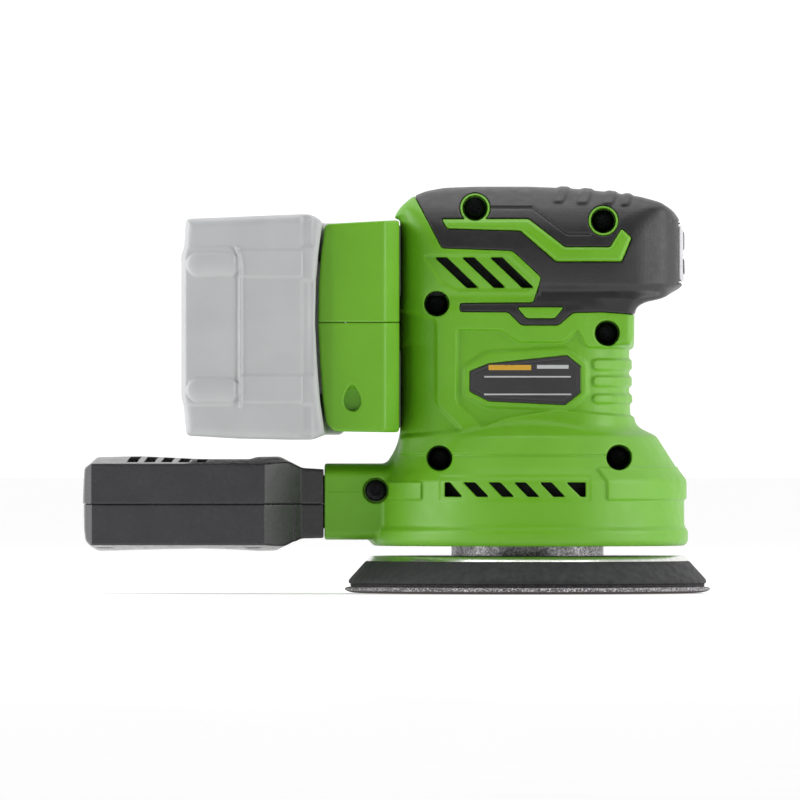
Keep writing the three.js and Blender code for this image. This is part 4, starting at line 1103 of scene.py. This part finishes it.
def hooks():
    nodes = Nodes("hook_layer", Roughness=0.95)
    tufts = nodes.noise(0.5, 3, 0.75)
    nodes.colour(nodes.ramp(tufts, [(0.38, tint(18, 17, 18)), (0.62, tint(84, 80, 82))]))
    nodes.bump(tufts, 0.4)
    return nodes.material


def abrasive():
    """Grit below, pale velour backing above, on one thin disc."""
    nodes = Nodes("abrasive_disc", Roughness=0.95)
    height = nodes.add("ShaderNodeSeparateXYZ")
    nodes.link(nodes.place, height.inputs["Vector"])
    ragged = nodes.add("ShaderNodeMath", operation="MULTIPLY_ADD")
    nodes.link(nodes.noise(0.8, 3, 0.7), ragged.inputs[0])
    ragged.inputs[1].default_value = 0.45 * MM
    nodes.link(height.outputs["Z"], ragged.inputs[2])
    backing = nodes.span(ragged.outputs[0], 0, 1, 0.95 * MM, 1.15 * MM)
    grit = nodes.ramp(nodes.noise(0.3, 3, 0.8), [(0.35, tint(40, 36, 36)), (0.65, tint(96, 82, 80))])
    velour = nodes.ramp(nodes.noise(0.7, 3, 0.85), [(0.34, tint(34, 32, 34)), (0.5, tint(104, 101, 104)),
                                                    (0.62, tint(236, 232, 236))])
    mix = nodes.add("ShaderNodeMix", data_type="RGBA")
    nodes.link(backing, mix.inputs["Factor"])
    nodes.link(grit, mix.inputs["A"])
    nodes.link(velour, mix.inputs["B"])
    nodes.colour(mix.outputs["Result"])
    nodes.bump(nodes.noise(0.3, 3, 0.8), 0.2)
    return nodes.material


def soft_rubber(name, dark, light, low, high):
    nodes = Nodes(name)
    return nodes.finish(nodes.noise(11, 3), dark, light, nodes.noise(3, 4, 0.6), low, high,
                        (nodes.cells(0.42, "SMOOTH_F1"), 0.05), (nodes.noise(7, 1), 0.04))


def circuit_board():
    nodes = Nodes("board", Roughness=0.4)
    tracks = nodes.cells(2.2, "DISTANCE_TO_EDGE")
    nodes.colour(nodes.ramp(tracks, [(0.05, tint(30, 96, 60)), (0.12, tint(20, 66, 42))]))
    nodes.bump(tracks, 0.05)
    return nodes.material


# Each plain material: how it is made, its darker and lighter tone, roughness range, grain and depth.
PLAIN_MATERIALS = {
    "housing_green": (plastic, (98, 162, 20), (103, 167, 26), 0.36, 0.5),
    "grip_rubber": (soft_rubber, (32, 31, 33), (38, 37, 39), 0.36, 0.5),
    "dark_plastic": (plastic, (48, 47, 50), (54, 53, 56), 0.22, 0.3, 0.4, 0.008),
    "pale_plastic": (plastic, (173, 174, 175), (179, 180, 181), 0.38, 0.5),
    "nose_plastic": (plastic, (180, 180, 183), (188, 188, 191), 0.2, 0.3, 2, 0.004),
    "plate": (plastic, (44, 43, 45), (50, 49, 51), 0.34, 0.46, 0.3, 0.006),
    "plate_amber": (plastic, (196, 150, 40), (206, 160, 48), 0.34, 0.46, 0.3, 0.006),
    "plate_pale": (plastic, (176, 176, 178), (190, 190, 192), 0.34, 0.46, 0.3, 0.006),
    "seal_rubber": (soft_rubber, (26, 26, 27), (34, 34, 35), 0.7, 0.9),
    "steel": (metal, (150, 152, 156), (200, 202, 206), 0.22, 0.4, 1.4, 0.01, (1, 1, 5)),
    "dark_steel": (metal, (26, 26, 28), (44, 44, 47), 0.4, 0.6, 0.8, 0.01),
    "copper": (metal, (150, 78, 40), (214, 128, 78), 0.25, 0.4, 0.9, 0.06, (1, 1, 7)),
    "cell": (plastic, (44, 84, 132), (52, 94, 146), 0.25, 0.36, 3, 0.004),
    "pad_plate": (metal, (214, 214, 210), (234, 234, 230), 0.16, 0.26, 2.4, 0.004),
    "filter": (soft_rubber, (196, 190, 176), (226, 222, 210), 0.85, 0.95),
}
MATERIALS = {name: make(name, *look) for name, (make, *look) in PLAIN_MATERIALS.items()}
MATERIALS.update({
    "cast_aluminium": cast_metal(),
    "board": circuit_board(),
    "foam": foam(),
    "hook_layer": hooks(),
    "abrasive": abrasive(),
})


# ---------------- camera, light and floor

CAMERA_DISTANCE = 8.0            # metres; far off, so the view is nearly orthographic
LENS_PER_METRE = 394.7 / 3
scene = bpy.context.scene
camera = bpy.data.objects.new("camera", bpy.data.cameras.new("camera"))
scene.collection.objects.link(camera)
camera.location = (-0.0441, -CAMERA_DISTANCE, 0.066)
camera.rotation_euler = (math.pi / 2, 0, 0)
camera.data.sensor_width = 36
camera.data.lens = LENS_PER_METRE * CAMERA_DISTANCE
camera.data.clip_end = 60
scene.camera = camera
scene.view_settings.view_transform = "Standard"


def area_light(name, place, aim, size, power):
    data = bpy.data.lights.new(name, "AREA")
    data.shape, data.size, data.size_y, data.energy = "RECTANGLE", size[0], size[1], power
    light = bpy.data.objects.new(name, data)
    scene.collection.objects.link(light)
    light.location = place
    light.rotation_euler = (Vector(place) - Vector(aim)).to_track_quat("Z", "Y").to_euler()


def studio():
    world = bpy.data.worlds.new("studio")
    scene.world = world
    world.use_nodes = True
    tree = world.node_tree
    direction = tree.nodes.new("ShaderNodeTexCoord")
    split = tree.nodes.new("ShaderNodeSeparateXYZ")
    tree.links.new(direction.outputs["Generated"], split.inputs["Vector"])
    ramp = tree.nodes.new("ShaderNodeMapRange")
    for socket, number in (("From Min", -1.0), ("From Max", 0.6), ("To Min", 0.03), ("To Max", 1.1)):
        ramp.inputs[socket].default_value = number
    tree.links.new(split.outputs["Y"], ramp.inputs["Value"])
    seen = tree.nodes.new("ShaderNodeLightPath")
    bright = tree.nodes.new("ShaderNodeMath")
    bright.operation = "MAXIMUM"
    tree.links.new(ramp.outputs["Result"], bright.inputs[0])
    tree.links.new(seen.outputs["Is Camera Ray"], bright.inputs[1])
    tree.links.new(bright.outputs[0], tree.nodes["Background"].inputs["Strength"])
    tree.nodes["Background"].inputs["Color"].default_value = (1, 1, 1, 1)
    for name, place, aim_height, size, power in (
            ("left_soft", (-1.1, -0.25, 0.3), 0.07, (0.9, 1.1), 12),
            ("right_soft", (1.1, -0.3, 0.3), 0.07, (0.9, 1.1), 10),
            ("top_soft", (0, 0.1, 1.3), 0.08, (1.4, 0.9), 7)):
        area_light(name, place, (0, 0, aim_height), size, power)


def floor():
    shape = bmesh.new()
    bmesh.ops.create_grid(shape, x_segments=8, y_segments=8, size=12)
    piece = to_object("floor", shape)
    scene.collection.objects.link(piece)
    piece.location.z = -0.0002
    nodes = Nodes("floor", Roughness=0.9, Emission_Strength=0.45, Emission_Color=(1, 1, 1, 1))
    nodes.colour(nodes.ramp(nodes.noise(60, 2), [(0.3, tint(216, 216, 216)), (0.7, tint(220, 220, 220))]))
    piece.data.materials.append(nodes.material)


# ---------------- the whole tool

PLATE_BARS = [
    ("plate_amber", -14.0, 0.5, 76.2, 77.9),
    ("plate_pale", 2.5, 13.4, 76.6, 77.9),
    ("plate_pale", -15.5, 14.2, 73.6, 74.1),
    ("plate_pale", -15.5, 14.2, 67.6, 68.1),
]


def paint_bars(plate):
    """Plain coloured bars on the rating plate, in place of any lettering."""
    slots = {}
    for name, *_ in PLATE_BARS:
        if name not in slots:
            slots[name] = len(plate.data.materials)
            plate.data.materials.append(MATERIALS[name])
    for face in plate.data.polygons:
        u, v = face.center.x / MM, face.center.z / MM
        for name, left, right, low, high in PLATE_BARS:
            if left < u < right and low < v < high and face.normal.y < -0.9:
                face.material_index = slots[name]


def room(*nodes):
    """The box around the nodes, with a little room outside it."""
    lows, highs = zip(*(box(node) for node in nodes))
    return np.min(lows, axis=0) - 0.6, np.max(highs, axis=0) + 0.6


# Each moulding's name, field, grid step, body, slot and the CAD nodes that it stands for.
MOULDINGS = [
    ("nose_panel_face", nose_panel, 0.25, "housing", "nose_plastic", "nose_panel"),
    ("power_button_cap", button("power"), 0.2, "power_key", "dark_plastic", "power_button"),
    ("speed_button_cap", button("speed"), 0.2, "speed_key", "dark_plastic", "speed_button"),
    ("rating_plate_face", rating_plate, 0.25, "housing", "plate", "rating_plate"),
    ("collar_upper_shell", above(collar, COLLAR_SEAM), 0.5, "housing", "housing_green", "collar_upper"),
    ("collar_lower_shell", below(collar, COLLAR_SEAM), 0.5, "housing", "housing_green", "collar_lower"),
    ("battery_shell", battery, 0.5, "battery", "pale_plastic", "battery_outer_case", "battery_inner_case"),
    ("battery_latch_cap", latch_button, 0.3, "latch", "dark_plastic", "battery_latch"),
    ("dust_box_upper_shell", above(dust_box, BOX_SEAM), 0.45, "dust_box", "dark_plastic", "dust_box_upper"),
    ("dust_box_lower_shell", below(dust_box, BOX_SEAM), 0.45, "dust_box", "dark_plastic", "dust_box_lower"),
]


def add_shade_screens(side, word):
    """The visual model's own dark screens behind one half's vents: painted shade that makes the vents read
    black.
    """
    for name, screen, near, far, left, right, low, high in (
            ("vent_shade_screen", vent_shade_screen, 22, 28, -38, 8, 100, 118),
            ("skirt_shade_screen", skirt_shade_screen, 38, 48, -34, 24, 30, 41)):
        near, far = sorted((near * side, far * side))
        # The dark seal_rubber colour on these screens is painted shade inside the vents.
        mould(f"{name}_{word}", screen(side), (left, near, low), (right, far, high), 0.5,
              "housing", "dark_plastic", material="seal_rubber")


def add_mouldings():
    sides = ((-1, "right"), (1, "left"))
    for side, word in sides:
        for name, kind, field, step, slot in (("housing", "shell", housing, 0.5, "housing_green"),
                                              ("grip", "skin", soft_grip, 0.45, "grip_rubber")):
            node = f"{name}_{word}"
            mould(f"{node}_{kind}", half(field, side), *room(node), step, "housing", slot, node)
    for name, field, step, body, slot, *nodes in MOULDINGS:
        piece = mould(name, field, *room(*nodes), step, body, slot, *nodes)
        if name == "rating_plate_face":
            paint_bars(piece)
    for side, word in sides:
        add_shade_screens(side, word)
    mould("pad_hub_casting", hub, *room("pad_hub"), 0.35, "pad", "cast_aluminium", "pad_hub")


CAD_SLOTS = {
    "board": ["switch_board", "controller_board", "sensor_board", "battery_board"],
    "dark_steel": ["motor_stator", "rotor_core", "pad_screw"],
    "copper": [f"stator_coil_{i}" for i in range(1, 7)],
    "steel": ["upper_bearing", "lower_bearing", "motor_shaft", "counterweight", "eccentric_bearing",
              "pad_spindle"],
    "cast_aluminium": ["bearing_bracket"],
    "dark_plastic": ["fan_chamber_floor", "fan", "terminal_block"],
    "seal_rubber": ["brake_ring", "collar_gasket", "dust_box_seal"],
    "cell": [f"battery_cell_{i}" for i in range(1, 6)],
    "filter": ["dust_filter"],
}


def finish_cad_nodes():
    for slot, names in CAD_SLOTS.items():
        for name in names:
            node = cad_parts[name]
            node.data.materials.clear()
            node.data.materials.append(MATERIALS[slot])


studio()
floor()
add_mouldings()
pad_layers()
for number, (u, v) in enumerate(WELLS, 1):
    screw(f"housing_screw_{number}_turned", 3.7, 1.8, 29, (u, SCREW_SEAT, v), f"housing_screw_{number}")
u, _, v = centre("collar_screw")
screw("collar_screw_turned", 2.9, 1.4, 12, (u, COLLAR_SCREW_SEAT, v), "collar_screw")
finish_cad_nodes()
